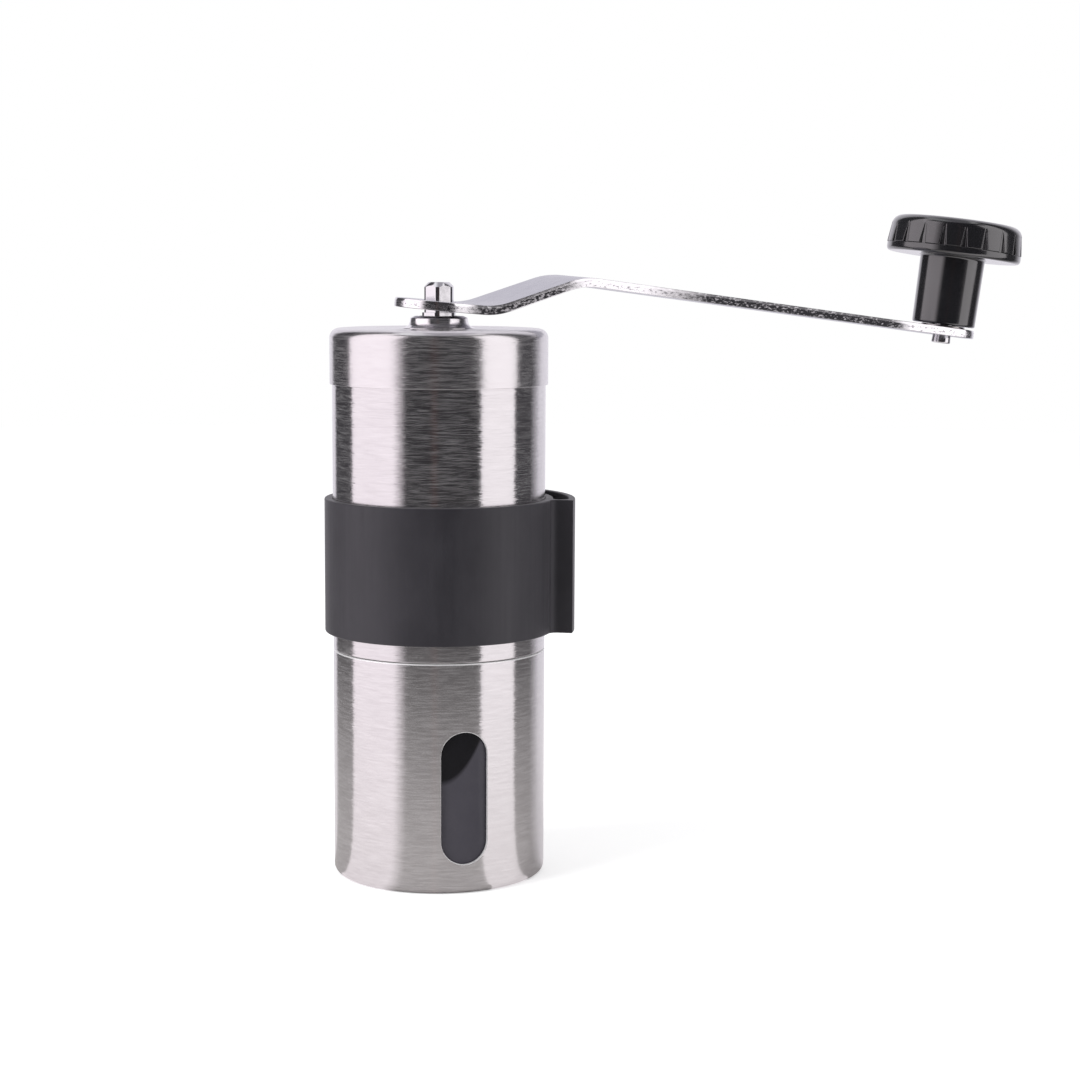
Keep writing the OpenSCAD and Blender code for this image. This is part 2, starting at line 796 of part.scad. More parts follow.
module lid_cover() {
    color("silver")
        rotate_extrude()
            difference() {
                translate([0, lid_z1])
                    mirror([0, 1])
                        can_outline(lid_r, lid_h, lid_round);
                translate([0, lid_under])
                    mirror([0, 1])
                        can_outline(lid_in_r, lid_h, lid_round - lid_wall);
                translate([0, lid_under - over])
                    square([collar_neck_d / 2 + fit_gap, lid_top_wall + 2 * over]);
            }
}

// Hollow flare from radius r0 at height z0, where it lies flat, up to radius r1 at height z1, where it is upright
function flare_points(r0, z0, r1, z1) = [
    for (i = [0 : bend_steps])
        let (a = i * 90 / bend_steps)
            [r0 + (r1 - r0) * sin(a), z0 + (z1 - z0) * (1 - cos(a))]
];

module lid_collar() {
    color("gainsboro")
        rotate_extrude()
            polygon(concat(
                [[collar_bore_d / 2, lid_under - collar_clinch_h],
                [collar_clinch_d / 2, lid_under - collar_clinch_h],
                [collar_clinch_d / 2, lid_under],
                [collar_neck_d / 2, lid_under],
                [collar_neck_d / 2, lid_z1],
                [collar_foot_d / 2, lid_z1]],
                flare_points(collar_foot_d / 2, lid_z1 + collar_foot_h, collar_d / 2,
                    collar_z1 - collar_bevel_h),
                [[collar_top_d / 2, collar_z1],
                [collar_bore_d / 2, collar_z1]]
            ));
}

module lid_liner() {
    top = lid_under - fit_gap;
    plug_r = core_r;
    hole_r = collar_clinch_d / 2 + fit_gap;
    rim_z0 = tube_z1 + fit_gap;
    rim_r = lid_in_r - lid_gap;
    color([0.13, 0.13, 0.14])
        rotate_extrude()
            polygon([
                [hole_r, top - plug_disc_h],
                [plug_r - plug_wall, top - plug_disc_h],
                [plug_r - plug_wall, tube_z1 - plug_h],
                [plug_r, tube_z1 - plug_h],
                [plug_r, rim_z0],
                [rim_r, rim_z0],
                [rim_r, rim_z0 + plug_rim_h],
                [plug_r, rim_z0 + plug_rim_h],
                [plug_r, top - lid_round],
                [plug_r - lid_round, top],
                [hole_r, top]
            ]);
}

// Prism with six sides between z0 and z1, af across the flats, a corner towards +X
module hex_bar(af, z0, z1) {
    translate([0, 0, z0])
        cylinder(d = af / cos(30), h = z1 - z0, $fn = 6);
}

// Section of the shaft with two flats, from z0 to z1, with a gap all round
module flatted(z0, z1, gap) {
    intersection() {
        translate([0, 0, z0])
            cylinder(r = shaft_r + gap, h = z1 - z0);
        translate([-shaft_d, -flat_w / 2 - gap, z0])
            cube([2 * shaft_d, flat_w + 2 * gap, z1 - z0]);
    }
}

module drive_shaft() {
    lower_hex_z = shoulder_z - lower_hex_h;
    tip_r = drive_bar_d / 2;
    color("gainsboro")
        rotate([0, 0, crank_angle])
            difference() {
                union() {
                    translate([0, 0, thread_z0 + over])
                        cylinder(r = core_share * shaft_r, h = tip_z - thread_z0 - 2 * over);
                    translate([0, 0, thread_z0])
                        cylinder(d = thread_d, h = thread_z1 - thread_z0);
                    flatted(thread_z1, washer_z0, 0);
                    translate([0, 0, washer_z0])
                        cylinder(r = shaft_r, h = lower_hex_z - washer_z0);
                    intersection() {
                        hex_bar(shaft_hex, lower_hex_z, shoulder_z);
                        translate([0, 0, lower_hex_z])
                            cylinder(r = shaft_r, h = lower_hex_h);
                    }
                    intersection() {
                        hex_bar(drive_hex, shoulder_z, tip_z);
                        rotate_extrude()
                            polygon([[0, shoulder_z], [tip_r, shoulder_z],
                                [tip_r, tip_z - shaft_bevel], [tip_r - shaft_bevel, tip_z],
                                [0, tip_z]]);
                    }
                }
                ring(shaft_r - groove_depth, shaft_r + over, clip_z0, clip_h + run_gap);
            }
}

module shaft_clip() {
    color("dimgray")
        rotate([0, 0, crank_angle])
            difference() {
                ring(shaft_r - groove_depth + fit_gap, clip_d / 2, clip_z0, clip_h);
                translate([0, 0, clip_z0 - over])
                    linear_extrude(height = clip_h + 2 * over)
                        wedge(clip_open / 2, clip_d);
            }
}

module thrust_washer() {
    color("lightgray")
        ring(shaft_r + bush_gap, washer_d / 2, washer_z0, washer_h);
}

// One ring of points round the wire, at share u of the whole coil
function wire_ring(u, z0, rise, sides) = let (
        a = u * curls * 360,
        lean = atan(rise / (curls * PI * spring_d))
    ) [
    for (k = [0 : sides - 1])
        let (
            b = k * 360 / sides,
            out = wire_d / 2 * cos(b),
            up = wire_d / 2 * sin(b)
        )
            [
                (spring_d / 2 + out) * cos(a) + up * sin(lean) * sin(a),
                (spring_d / 2 + out) * sin(a) - up * sin(lean) * cos(a),
                z0 + u * rise + up * cos(lean)
            ]
];

module burr_spring() {
    sides = 6;
    rings = 8 * curls;
    z0 = driver_z1 + fit_gap + wire_d / 2;
    rise = washer_z0 - fit_gap - wire_d / 2 - z0;
    points = [for (i = [0 : rings]) each wire_ring(i / rings, z0, rise, sides)];
    walls = [
        for (i = [0 : rings - 1], k = [0 : sides - 1])
            let (
                a = i * sides + k,
                b = i * sides + (k + 1) % sides
            )
                each [[a, b + sides, b], [a, a + sides, b + sides]]
    ];
    first_cap = [for (k = [1 : sides - 2]) [0, k, k + 1]];
    last = rings * sides;
    last_cap = [for (k = [1 : sides - 2]) [last, last + k + 1, last + k]];
    echo(least_gap_between_curls = rise / curls - wire_d);
    color("silver")
        polyhedron(points = points, faces = concat(walls, first_cap, last_cap));
}

module inner_burr() {
    coarse_h = inner_burr_h - inner_fine_h;
    color("white")
        difference() {
            union() {
                translate([0, 0, inner_z0])
                    linear_extrude(height = inner_fine_h, twist = fine_turn, slices = 3,
                            scale = inner_mid_d / inner_low_d)
                        polygon(saw_points(fine_count, inner_low_d / 2,
                            inner_low_d / 2 - fine_depth));
                translate([0, 0, inner_z0 + inner_fine_h])
                    linear_extrude(height = coarse_h, twist = ridge_turn, slices = 10,
                            scale = inner_top_d / inner_mid_d)
                        polygon(ridge_points(ridge_count, inner_mid_d / 2, -ridge_depth,
                            ridge_shares));
            }
            bore(inner_bore_d / 2, inner_z0, inner_burr_h);
            rotate([0, 0, crank_angle])
                translate([-inner_mid_d, -driver_key_w / 2, inner_z1 - driver_key_h - fit_gap])
                    cube([2 * inner_mid_d, driver_key_w, driver_key_h + over]);
        }
}

module burr_driver() {
    key_w = driver_key_w - 2 * fit_gap;
    color("dimgray")
        rotate([0, 0, crank_angle])
            difference() {
                union() {
                    translate([0, 0, inner_z1 - driver_h])
                        cylinder(r = inner_bore_d / 2 - fit_gap, h = driver_h);
                    translate([0, 0, inner_z1])
                        cylinder(d = driver_flange_d, h = driver_flange_h);
                    intersection() {
                        translate([0, 0, inner_z1 - driver_key_h])
                            cylinder(d = driver_flange_d, h = driver_key_h);
                        translate([-driver_flange_d, -key_w / 2, inner_z1 - driver_key_h])
                            cube([2 * driver_flange_d, key_w, driver_key_h]);
                    }
                }
                flatted(inner_z1 - driver_h - over, driver_z1 + over, fit_gap);
            }
}

module adjuster_dial() {
    color([0.13, 0.13, 0.14])
        difference() {
            translate([0, 0, dial_z0])
                linear_extrude(height = dial_h)
                    difference() {
                        circle(d = dial_d);
                        around(dial_scallops)
                            translate([dial_d / 2 + scallop_out_share * scallop_r, 0])
                                circle(r = scallop_r);
                    }
            bore(thread_d / 2 + bush_gap, dial_z0, dial_h);
            hex_bar(insert_hex, dial_z0 - over, dial_z0 + insert_h + fit_gap);
            around(dial_scallops)
                translate([0, -click_w / 2, dial_z1 - click_depth])
                    cube([dial_d, click_w, click_depth + over]);
        }
}

module dial_insert() {
    color("goldenrod")
        difference() {
            hex_bar(insert_hex - 2 * fit_gap, dial_z0, dial_z0 + insert_h);
            bore(thread_d / 2 + bush_gap, dial_z0, insert_h);
        }
}

// Puts the arm's own frame on the shaft: X along the arm, Z up from the middle of the strip
module arm_place() {
    rotate([0, 0, crank_angle])
        translate([0, 0, arm_mid_z])
            rotate([0, arm_droop, 0])
                rotate([arm_roll, 0, 0])
                    children();
}

// Puts the knob's frame on top of the arm, Z along the knob's axis
module knob_place() {
    arm_place()
        translate([knob_at[0], 0, knob_at[1]])
            rotate([0, long_angle, 0])
                translate([0, 0, arm_t / 2])
                    children();
}

// Points along one face of the strip through a bend at corner, from heading a0 to heading a1;
// side is 1 for the upper face and -1 for the lower one
function bend_points(corner, a0, a1, side) =
    let (
        s = sign(a1 - a0),
        back = bend_mid_r * tan(abs(a1 - a0) / 2),
        centre = corner - back * [cos(a0), sin(a0)] + s * bend_mid_r * [-sin(a0), cos(a0)]
    ) [
        for (i = [0 : bend_steps])
            let (a = a0 + (a1 - a0) * i / bend_steps)
                centre + (side * arm_t / 2 - s * bend_mid_r) * [-sin(a), cos(a)]
    ];

// Points along one whole face of the strip, from past the hub to past the tip
function face_points(side) =
    let (
        half = side * arm_t / 2,
        past = arm_tip_r + over
    )
        concat(
            [[-arm_hub_r - over, half]],
            bend_points(bend_one, 0, ramp_angle, side),
            bend_points(bend_two, ramp_angle, -long_angle, side),
            [knob_at + past * [cos(long_angle), -sin(long_angle)]
                + half * [sin(long_angle), cos(long_angle)]]
        );

// Outline of the arm from above: two round ends and the taper between them
function arm_outline() =
    let (lean = asin((arm_hub_r - arm_tip_r) / knob_at[0]))
        concat(
            arc_points([0, 0], arm_hub_r, 90 - lean, 270 + lean),
            arc_points([knob_at[0], 0], arm_tip_r, lean - 90, 90 - lean)
        );

module crank_arm() {
    reach = ramp_l + long_l;
    color("lightsteelblue")
        difference() {
            arm_place()
                intersection() {
                    rotate([90, 0, 0])
                        linear_extrude(height = 2 * (arm_hub_r + over), center = true)
                            polygon(concat(face_points(1),
                                [for (i = [len(face_points(-1)) - 1 : -1 : 0]) face_points(-1)[i]]));
                    linear_extrude(height = reach, center = true)
                        polygon(arm_outline());
                }
            arm_place()
                hex_bar(drive_hex + hex_play, -arm_t, arm_t);
            knob_place()
                translate([0, 0, -2 * arm_t])
                    cylinder(r = rivet_d / 2 + fit_gap, h = 3 * arm_t);
        }
}

module knob_bolt() {
    head_at = bolt_seat_z + run_gap;
    color("gainsboro")
        knob_place() {
            translate([0, 0, -arm_t - rivet_tail])
                cylinder(d1 = rivet_flare_d, d2 = rivet_d, h = rivet_tail);
            translate([0, 0, -arm_t])
                cylinder(d = rivet_d, h = arm_t);
            cylinder(d = bolt_d, h = head_at);
            translate([0, 0, head_at])
                cylinder(d = bolt_head_d, h = bolt_head_h);
        }
}

module knob_washer() {
    color("lightgray")
        knob_place()
            ring(bolt_d / 2 + fit_gap, knob_washer_d / 2, 0, knob_washer_h);
}

// Ring of pads whose backs are sunk in the drum, parted right through by notches that widen downwards
module knob_pads() {
    inner = drum_r - pad_proud;
    widening = (notch_w - notch_top_w) * over / pad_h;
    low_w = notch_w + widening;
    high_w = notch_top_w - widening;
    difference() {
        rotate_extrude()
            polygon([[inner, pad_z0], [head_r, pad_z0], [drum_r + pad_top_proud, pad_z0 + pad_h],
                [inner, pad_z0 + pad_h]]);
        around(pad_count, pad_turn)
            translate([inner - over, 0, pad_z0])
                rotate([90, 0, 90])
                    linear_extrude(height = head_r - inner + 2 * over)
                        polygon([[-low_w / 2, -over], [-high_w / 2, pad_h + over],
                            [high_w / 2, pad_h + over], [low_w / 2, -over]]);
    }
}

module knob() {
    bead_r = head_r - pad_top_proud;
    bore_in_r = bolt_d / 2 + knob_gap;
    color([0.07, 0.07, 0.08])
        knob_place()
            difference() {
                union() {
                    rotate_extrude() {
                        polygon([[0, stem_z0], [stem_d / 2 - stem_round, stem_z0],
                            [stem_d / 2, stem_z0 + stem_round], [stem_top_d / 2, head_z0],
                            [stem_top_d / 2, head_z0 + bead_h], [0, head_z0 + bead_h]]);
                        translate([0, head_z0])
                            can_outline(bead_r, bead_h, bead_round);
                        translate([0, head_z1])
                            mirror([0, 1])
                                can_outline(drum_r, head_h - bead_round, head_round);
                    }
                    knob_pads();
                }
                bore(bore_in_r, stem_z0, bolt_seat_z - stem_z0);
                translate([0, 0, bolt_seat_z])
                    cylinder(d = recess_d, h = head_z1);
                translate([0, 0, head_z1 - cap_h])
                    cylinder(d = cap_d, h = head_z1);
            }
}

module knob_cap() {
    cap_r = cap_d / 2 - fit_gap;
    color([0.07, 0.07, 0.08])
        knob_place()
            rotate_extrude()
                polygon([[0, head_z1 - cap_h], [cap_r, head_z1 - cap_h], [cap_r, head_z1 - end_bevel],
                    [cap_r - end_bevel, head_z1], [0, head_z1]]);
}

cup_shell();
cup_liner();
body_tube();
grip_band();
burr_housing();
hopper_bridge();
upper_bush();
lower_bush();
outer_burr();
burr_retainer();
retainer_screws();
lid_cover();
lid_collar();
lid_liner();
drive_shaft();
shaft_clip();
thrust_washer();
burr_spring();
inner_burr();
burr_driver();
adjuster_dial();
dial_insert();
crank_arm();
knob_bolt();
knob_washer();
knob();
knob_cap();
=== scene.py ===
from math import acos, asin, atan2, ceil, cos, degrees, pi, radians, sin, sqrt, tan

import bmesh
import bpy
from mathutils import Matrix, Vector, geometry


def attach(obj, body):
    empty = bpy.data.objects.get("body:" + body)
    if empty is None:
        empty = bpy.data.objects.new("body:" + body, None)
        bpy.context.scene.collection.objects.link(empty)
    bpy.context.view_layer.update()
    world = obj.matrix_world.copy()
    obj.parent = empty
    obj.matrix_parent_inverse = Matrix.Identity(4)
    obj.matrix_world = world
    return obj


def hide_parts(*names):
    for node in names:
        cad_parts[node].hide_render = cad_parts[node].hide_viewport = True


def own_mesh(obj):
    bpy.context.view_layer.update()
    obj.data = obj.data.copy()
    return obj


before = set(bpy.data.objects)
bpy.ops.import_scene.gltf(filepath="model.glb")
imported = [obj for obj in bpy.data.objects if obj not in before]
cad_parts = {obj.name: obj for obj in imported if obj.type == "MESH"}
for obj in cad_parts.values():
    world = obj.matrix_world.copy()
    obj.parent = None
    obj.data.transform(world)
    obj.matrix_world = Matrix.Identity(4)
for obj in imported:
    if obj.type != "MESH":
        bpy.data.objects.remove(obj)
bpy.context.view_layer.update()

# Sizes of the grinder in millimetres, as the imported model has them
MM = 0.001
BODY_R, WALL = 24.5, 0.8
CUP_H, TUBE_Z0, TUBE_Z1 = 52.6, 52.75, 121.5
FOOT_ROUND = 1.7
WINDOW_W, WINDOW_H, WINDOW_Z, WINDOW_TURN = 10.6, 30.2, 21.9, 13.5
LINER_R, LINER_WALL, LINER_Z0, LINER_Z1 = 23.55, 1.0, 0.85, 44.0
BAND_Z0, BAND_Z1, BAND_R = 56.75, 87.55, 26.39
LOOP_R, LOOP_WALL, LOOP_HALF, LOOP_FILLET = 31.44, 1.5, 27.0, 1.8
LID_Z0, LID_Z1, LID_R, LID_IN_R = 113.7, 126.4, 25.05, 24.6
LID_ROUND, LID_TOP = 2.2, 0.6
COLLAR_FOOT_R, COLLAR_R, COLLAR_TOP_R, COLLAR_Z1, COLLAR_BEVEL = 8.3, 6.6, 5.6, 129.2, 0.45
SHOULDER_Z, TIP_Z = 130.0, 136.9
CRANK_ANGLE = 23.5
ARM_T, HUB_R, TIP_R, DROOP, ROLL = 2.1, 10.2, 8.0, 4.7, 1.9
ARM_Z = SHOULDER_Z + 1.55
BEND_X, RAMP, RAMP_L, FALL, LONG_L, BEND_R = 10.2, 21.9, 23.1, 2.2, 108.5, 17.0
STEM_R, STEM_TOP_R = 7.95, 8.15
HEAD_Z0, HEAD_Z1, BEAD_H, DRUM_R, HEAD_R, BEAD_R = 17.8, 27.0, 2.1, 16.45, 16.99, 16.9
PAD_H, NOTCH_W, NOTCH_TOP_W, PAD_COUNT, PAD_TURN = 5.1, 1.5, 0.5, 20, 8.0
# Gap between a rounded corner and the loop of edges that keeps the flat beside it flat
HOLD = 0.05


# Helpers for meshes

def turn_z(angle):
    return Matrix.Rotation(radians(angle), 4, "Z")


def on_circle(r, angle):
    return r * cos(radians(angle)), r * sin(radians(angle))


def rounded(corners, steps=6):
    """Closed outline whose corners, given as (x, y) or (x, y, radius), are rounded."""
    out = []
    for i, corner in enumerate(corners):
        p = Vector(corner[:2])
        if len(corner) == 2:
            out.append(tuple(p))
            continue
        before, after = Vector(corners[i - 1][:2]), Vector(corners[(i + 1) % len(corners)][:2])
        u, v = (before - p).normalized(), (after - p).normalized()
        half = u.angle(v) / 2
        centre = p + (u + v).normalized() * (corner[2] / sin(half))
        start, end = p + u * corner[2] / tan(half), p + v * corner[2] / tan(half)
        a0 = atan2(*(start - centre).yx)
        sweep = (atan2(*(end - centre).yx) - a0 + pi) % (2 * pi) - pi
        out.append(tuple(start + u * HOLD))
        out += [tuple(centre + corner[2] * Vector((cos(a0 + sweep * k / steps), sin(a0 + sweep * k / steps))))
                for k in range(steps + 1)]
        out.append(tuple(end + v * HOLD))
    return out


def arc(centre, r, a0, a1, step=2.0):
    """Points of an arc from a0 to a1 degrees."""
    n = max(1, ceil(abs(a1 - a0) / step))
    points = [on_circle(r, a0 + (a1 - a0) * k / n) for k in range(n + 1)]
    return [(centre[0] + x, centre[1] + y) for x, y in points]


def facet(bm, a, b, k):
    """Face k between two closed rings of vertices, either of which may be a single point."""
    ring = (a[k % len(a)], a[(k + 1) % len(a)], b[(k + 1) % len(b)], b[k % len(b)])
    corners = list(dict.fromkeys(ring))
    if len(corners) > 2:
        bm.faces.new(corners)


def skin(bm, a, b):
    for k in range(max(len(a), len(b))):
        facet(bm, a, b, k)


def ring_verts(bm, r, z, segments):
    if r < 1e-6:
        return [bm.verts.new((0, 0, z * MM))]
    turns = [2 * pi * k / segments for k in range(segments)]
    return [bm.verts.new((r * cos(turn) * MM, r * sin(turn) * MM, z * MM)) for turn in turns]


def lathe(outline, segments=192):
    """Shape turned about the axis from an outline of (radius, height); it closes on itself or on the axis."""
    bm = bmesh.new()
    rings = [ring_verts(bm, r, z, segments) for r, z in outline]
    for a, b in zip(rings, rings[1:]):
        skin(bm, a, b)
    if outline[0][0] > 1e-6:
        skin(bm, rings[-1], rings[0])
    bmesh.ops.recalc_face_normals(bm, faces=bm.faces)
    return bm


def polar(rings, angles):
    """Shape of rings of (radius, height) pairs, one pair for each angle, closed by a flat at each end."""
    bm = bmesh.new()
    made = [[bm.verts.new((r * cos(radians(a)) * MM, r * sin(radians(a)) * MM, z * MM))
             for a, (r, z) in zip(angles, ring)] for ring in rings]
    for a, b in zip(made, made[1:]):
        skin(bm, a, b)
    bm.faces.new(reversed(made[0]))
    bm.faces.new(made[-1])
    bmesh.ops.recalc_face_normals(bm, faces=bm.faces)
    return bm


def inset_points(points, depth):
    """The outline moved in towards the material by depth; the material lies to the left of the outline."""
    out = []
    for i, p in enumerate(points):
        a, b = Vector(points[i - 1]), Vector(points[(i + 1) % len(points)])
        p = Vector(p)
        d1, d2 = (p - a).normalized(), (b - p).normalized()
        n1, n2 = Vector((-d1.y, d1.x)), Vector((-d2.y, d2.x))
        out.append(tuple(p + (n1 + n2) * depth / max(0.3, 1 + n1.dot(n2))))
    return out


def round_levels(edge, z0, steps=5):
    """Insets and heights of a rounded lower rim, from the flat underside up to the upright wall."""
    turns = [radians(90 * k / steps) for k in range(steps + 1)]
    curve = [(edge * (1 - sin(a)), z0 + edge * (1 - cos(a))) for a in turns]
    return [(edge + HOLD, z0), *curve, (0, z0 + edge + HOLD)]


def slab(outlines, levels):
    """Plate whose rims follow the levels, each an inset and a height: the first outline runs left-handed
    round the material, the rest are its holes."""
    bm = bmesh.new()
    ends = ([], [])
    for points in outlines:
        rings = []
        for depth, z in levels:
            rings.append([bm.verts.new((x * MM, y * MM, z * MM)) for x, y in inset_points(points, depth)])
        for a, b in zip(rings, rings[1:]):
            skin(bm, a, b)
        ends[0].append(rings[0])
        ends[1].append(rings[-1])
    for loops in ends:
        flat = [v for loop in loops for v in loop]
        for corners in geometry.tessellate_polygon([[v.co for v in loop] for loop in loops]):
            bm.faces.new([flat[i] for i in corners])
    bmesh.ops.recalc_face_normals(bm, faces=bm.faces)
    return bm


def put(bm, place):
    bmesh.ops.transform(bm, matrix=place, verts=bm.verts)
    return bm


def link(obj):
    bpy.context.scene.collection.objects.link(obj)
    return obj


def add_modifier(obj, kind, **settings):
    modifier = obj.modifiers.new(kind.lower(), kind)
    for key, value in settings.items():
        setattr(modifier, key, value)
    return modifier


def baked(obj):
    """Plain mesh of an object with its modifiers carried out; the object itself goes."""
    bpy.context.view_layer.update()
    graph = bpy.context.evaluated_depsgraph_get()
    mesh = bpy.data.meshes.new_from_object(obj.evaluated_get(graph), preserve_all_data_layers=True, depsgraph=graph)
    bpy.data.objects.remove(obj)
    return mesh


def loose(bm, name):
    """Object for a shape that isn't a finished piece yet."""
    mesh = bpy.data.meshes.new(name)
    bm.to_mesh(mesh)
    bm.free()
    return link(bpy.data.objects.new(name, mesh))


def piece(name, shape, finishes, body, slot, *nodes, sharp=30):
    """Finished piece from a bmesh or a mesh, which stands for the named nodes of the model."""
    if isinstance(shape, bmesh.types.BMesh):
        mesh = bpy.data.meshes.new(name)
        shape.to_mesh(mesh)
        shape.free()
    else:
        mesh = shape
        mesh.name = name
        mesh.materials.clear()
    for finish in finishes if isinstance(finishes, (list, tuple)) else [finishes]:
        mesh.materials.append(finish)
    mesh.shade_smooth()
    mesh.set_sharp_from_angle(angle=radians(sharp))
    obj = link(bpy.data.objects.new(name, mesh))
    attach(obj, body)
    if nodes:
        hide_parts(*nodes)
    return obj


def copied(node, finish, body, slot, bevel=0.12, segments=2, sharp=28):
    """Finished copy of a node of the model, merged, with its sharp edges broken."""
    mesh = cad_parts[node].data.copy()
    bm = bmesh.new()
    bm.from_mesh(mesh)
    bmesh.ops.remove_doubles(bm, verts=bm.verts, dist=1e-6)
    bmesh.ops.dissolve_limit(bm, angle_limit=radians(1.0), verts=bm.verts, edges=bm.edges)
    rough = loose(bm, node + "_rough")
    if bevel:
        add_modifier(rough, "BEVEL", width=bevel * MM, segments=segments, limit_method="ANGLE",
                     angle_limit=radians(sharp), use_clamp_overlap=True)
    obj = piece(node + "_finished", baked(rough), finish, body, slot, node, sharp=sharp)
    add_modifier(obj, "WEIGHTED_NORMAL", keep_sharp=True, weight=50)
    return obj


def add_node(tree, kind, inputs=None, **settings):
    node = tree.nodes.new(kind)
    for key, value in settings.items():
        setattr(node, key, value)
    for key, value in (inputs or {}).items():
        if isinstance(value, bpy.types.NodeSocket):
            tree.links.new(value, node.inputs[key])
        else:
            node.inputs[key].default_value = value
    return node


def calc(tree, operation, *values):
    return add_node(tree, "ShaderNodeMath", dict(enumerate(values)), operation=operation).outputs[0]


def vector_calc(tree, operation, *values):
    made = add_node(tree, "ShaderNodeVectorMath", dict(enumerate(values)), operation=operation)
    return made.outputs["Value" if operation in ("LENGTH", "DOT_PRODUCT") else "Vector"]


# Finishes

# Distances from the axis in metres between which painted highlights and painted shade come and go on the cut edge and
# the corners of the arm, standing in for the bright and dark they reflect along its length
HUB_END, CORNER_SHINES, EDGE_SHINES = (0.0104, 0.0114), (0.0155, 0.0175), (0.028, 0.034)
EDGE_PAINTED_SHADE, SPECKLES_START, CORNER_TIP, EDGE_TIP = (0.048, 0.066), (0.05, 0.068), (0.119, 0.123), (0.121, 0.125)
# The painted light on the liner, standing in for its reflection of the pale floor, ends on a line that bends upward
# from its lowest point
PAINTED_LIGHT_LOW_Z, PAINTED_LIGHT_LOW_X, PAINTED_LIGHT_BEND = 0.0253, 0.005, 119.0


def finish_maker(build):
    """Turns a function that fills a node tree into one that returns a named material with that tree."""
    def made(name, *values):
        material = bpy.data.materials.new(name)
        material.use_nodes = True
        material.node_tree.nodes.clear()
        build(material.node_tree, *values)
        return material
    return made


def own_coords(tree):
    """The piece's own coordinates, in metres."""
    return add_node(tree, "ShaderNodeTexCoord").outputs["Object"]


def grain(tree, scale, detail=3.0, rough=0.6):
    """Noise on the piece's own coordinates; scale is in waves a metre, along each axis or along all."""
    scale = scale if isinstance(scale, tuple) else (scale,) * 3
    place = add_node(tree, "ShaderNodeMapping", {"Vector": own_coords(tree), "Scale": scale}).outputs[0]
    return add_node(tree, "ShaderNodeTexNoise",
                    {"Vector": place, "Scale": 1.0, "Detail": detail, "Roughness": rough}).outputs[0]


def spread(tree, value, low, high, from_low=0.3, from_high=0.7):
    return add_node(tree, "ShaderNodeMapRange", {"Value": value, "From Min": from_low, "From Max": from_high,
            "To Min": low, "To Max": high}).outputs[0]


def blend_colour(tree, share, a, b):
    return add_node(tree, "ShaderNodeMix", {0: share, 6: a, 7: b}, data_type="RGBA").outputs[2]


def mottle(tree, noise, a, b, low=0.3, high=0.7):
    return blend_colour(tree, spread(tree, noise, 0, 1, low, high), (*a, 1), (*b, 1))


def relief(tree, height, depth_mm, strength=1.0, under=None):
    inputs = {"Height": height, "Distance": depth_mm * MM, "Strength": strength}
    if under is not None:
        inputs["Normal"] = under
    return add_node(tree, "ShaderNodeBump", inputs).outputs[0]


def worn_edges(tree, low=0.52, high=0.62):
    """Share of wear on the outer edges of a piece."""
    return spread(tree, add_node(tree, "ShaderNodeNewGeometry").outputs["Pointiness"], 0.0, 1.0, low, high)


def reach_from_axis(tree):
    return vector_calc(tree, "LENGTH", vector_calc(tree, "MULTIPLY", own_coords(tree), (1, 1, 0)))


def zone(tree, reach, start, end):
    """Share that rises to 1 between the two distances of start and falls again between those of end."""
    return calc(tree, "MULTIPLY", spread(tree, reach, 0.0, 1.0, *start), spread(tree, reach, 1.0, 0.0, *end))


def split(tree, vector):
    return add_node(tree, "ShaderNodeSeparateXYZ", {0: vector})


def mix_shader(tree, share, a, b):
    return add_node(tree, "ShaderNodeMixShader", {0: share, 1: a.outputs[0], 2: b.outputs[0]})


def end_shader(tree, kind, surface):
    out = add_node(tree, kind)
    tree.links.new(surface.outputs[0], out.inputs["Surface"])


def close_finish(tree, **sockets):
    shader = add_node(tree, "ShaderNodeBsdfPrincipled", {k.replace("_", " "): v for k, v in sockets.items()})
    end_shader(tree, "ShaderNodeOutputMaterial", shader)


def round_tangent(tree):
    """Direction round the body's axis, which moves with the piece."""
    parts = split(tree, own_coords(tree))
    back = calc(tree, "MULTIPLY", parts.outputs["Y"], -1.0)
    round_axis = add_node(tree, "ShaderNodeCombineXYZ", {"X": back, "Y": parts.outputs["X"]})
    return add_node(tree, "ShaderNodeVectorTransform", {0: round_axis.outputs[0]}, vector_type="VECTOR",
                    convert_from="OBJECT", convert_to="WORLD").outputs[0]


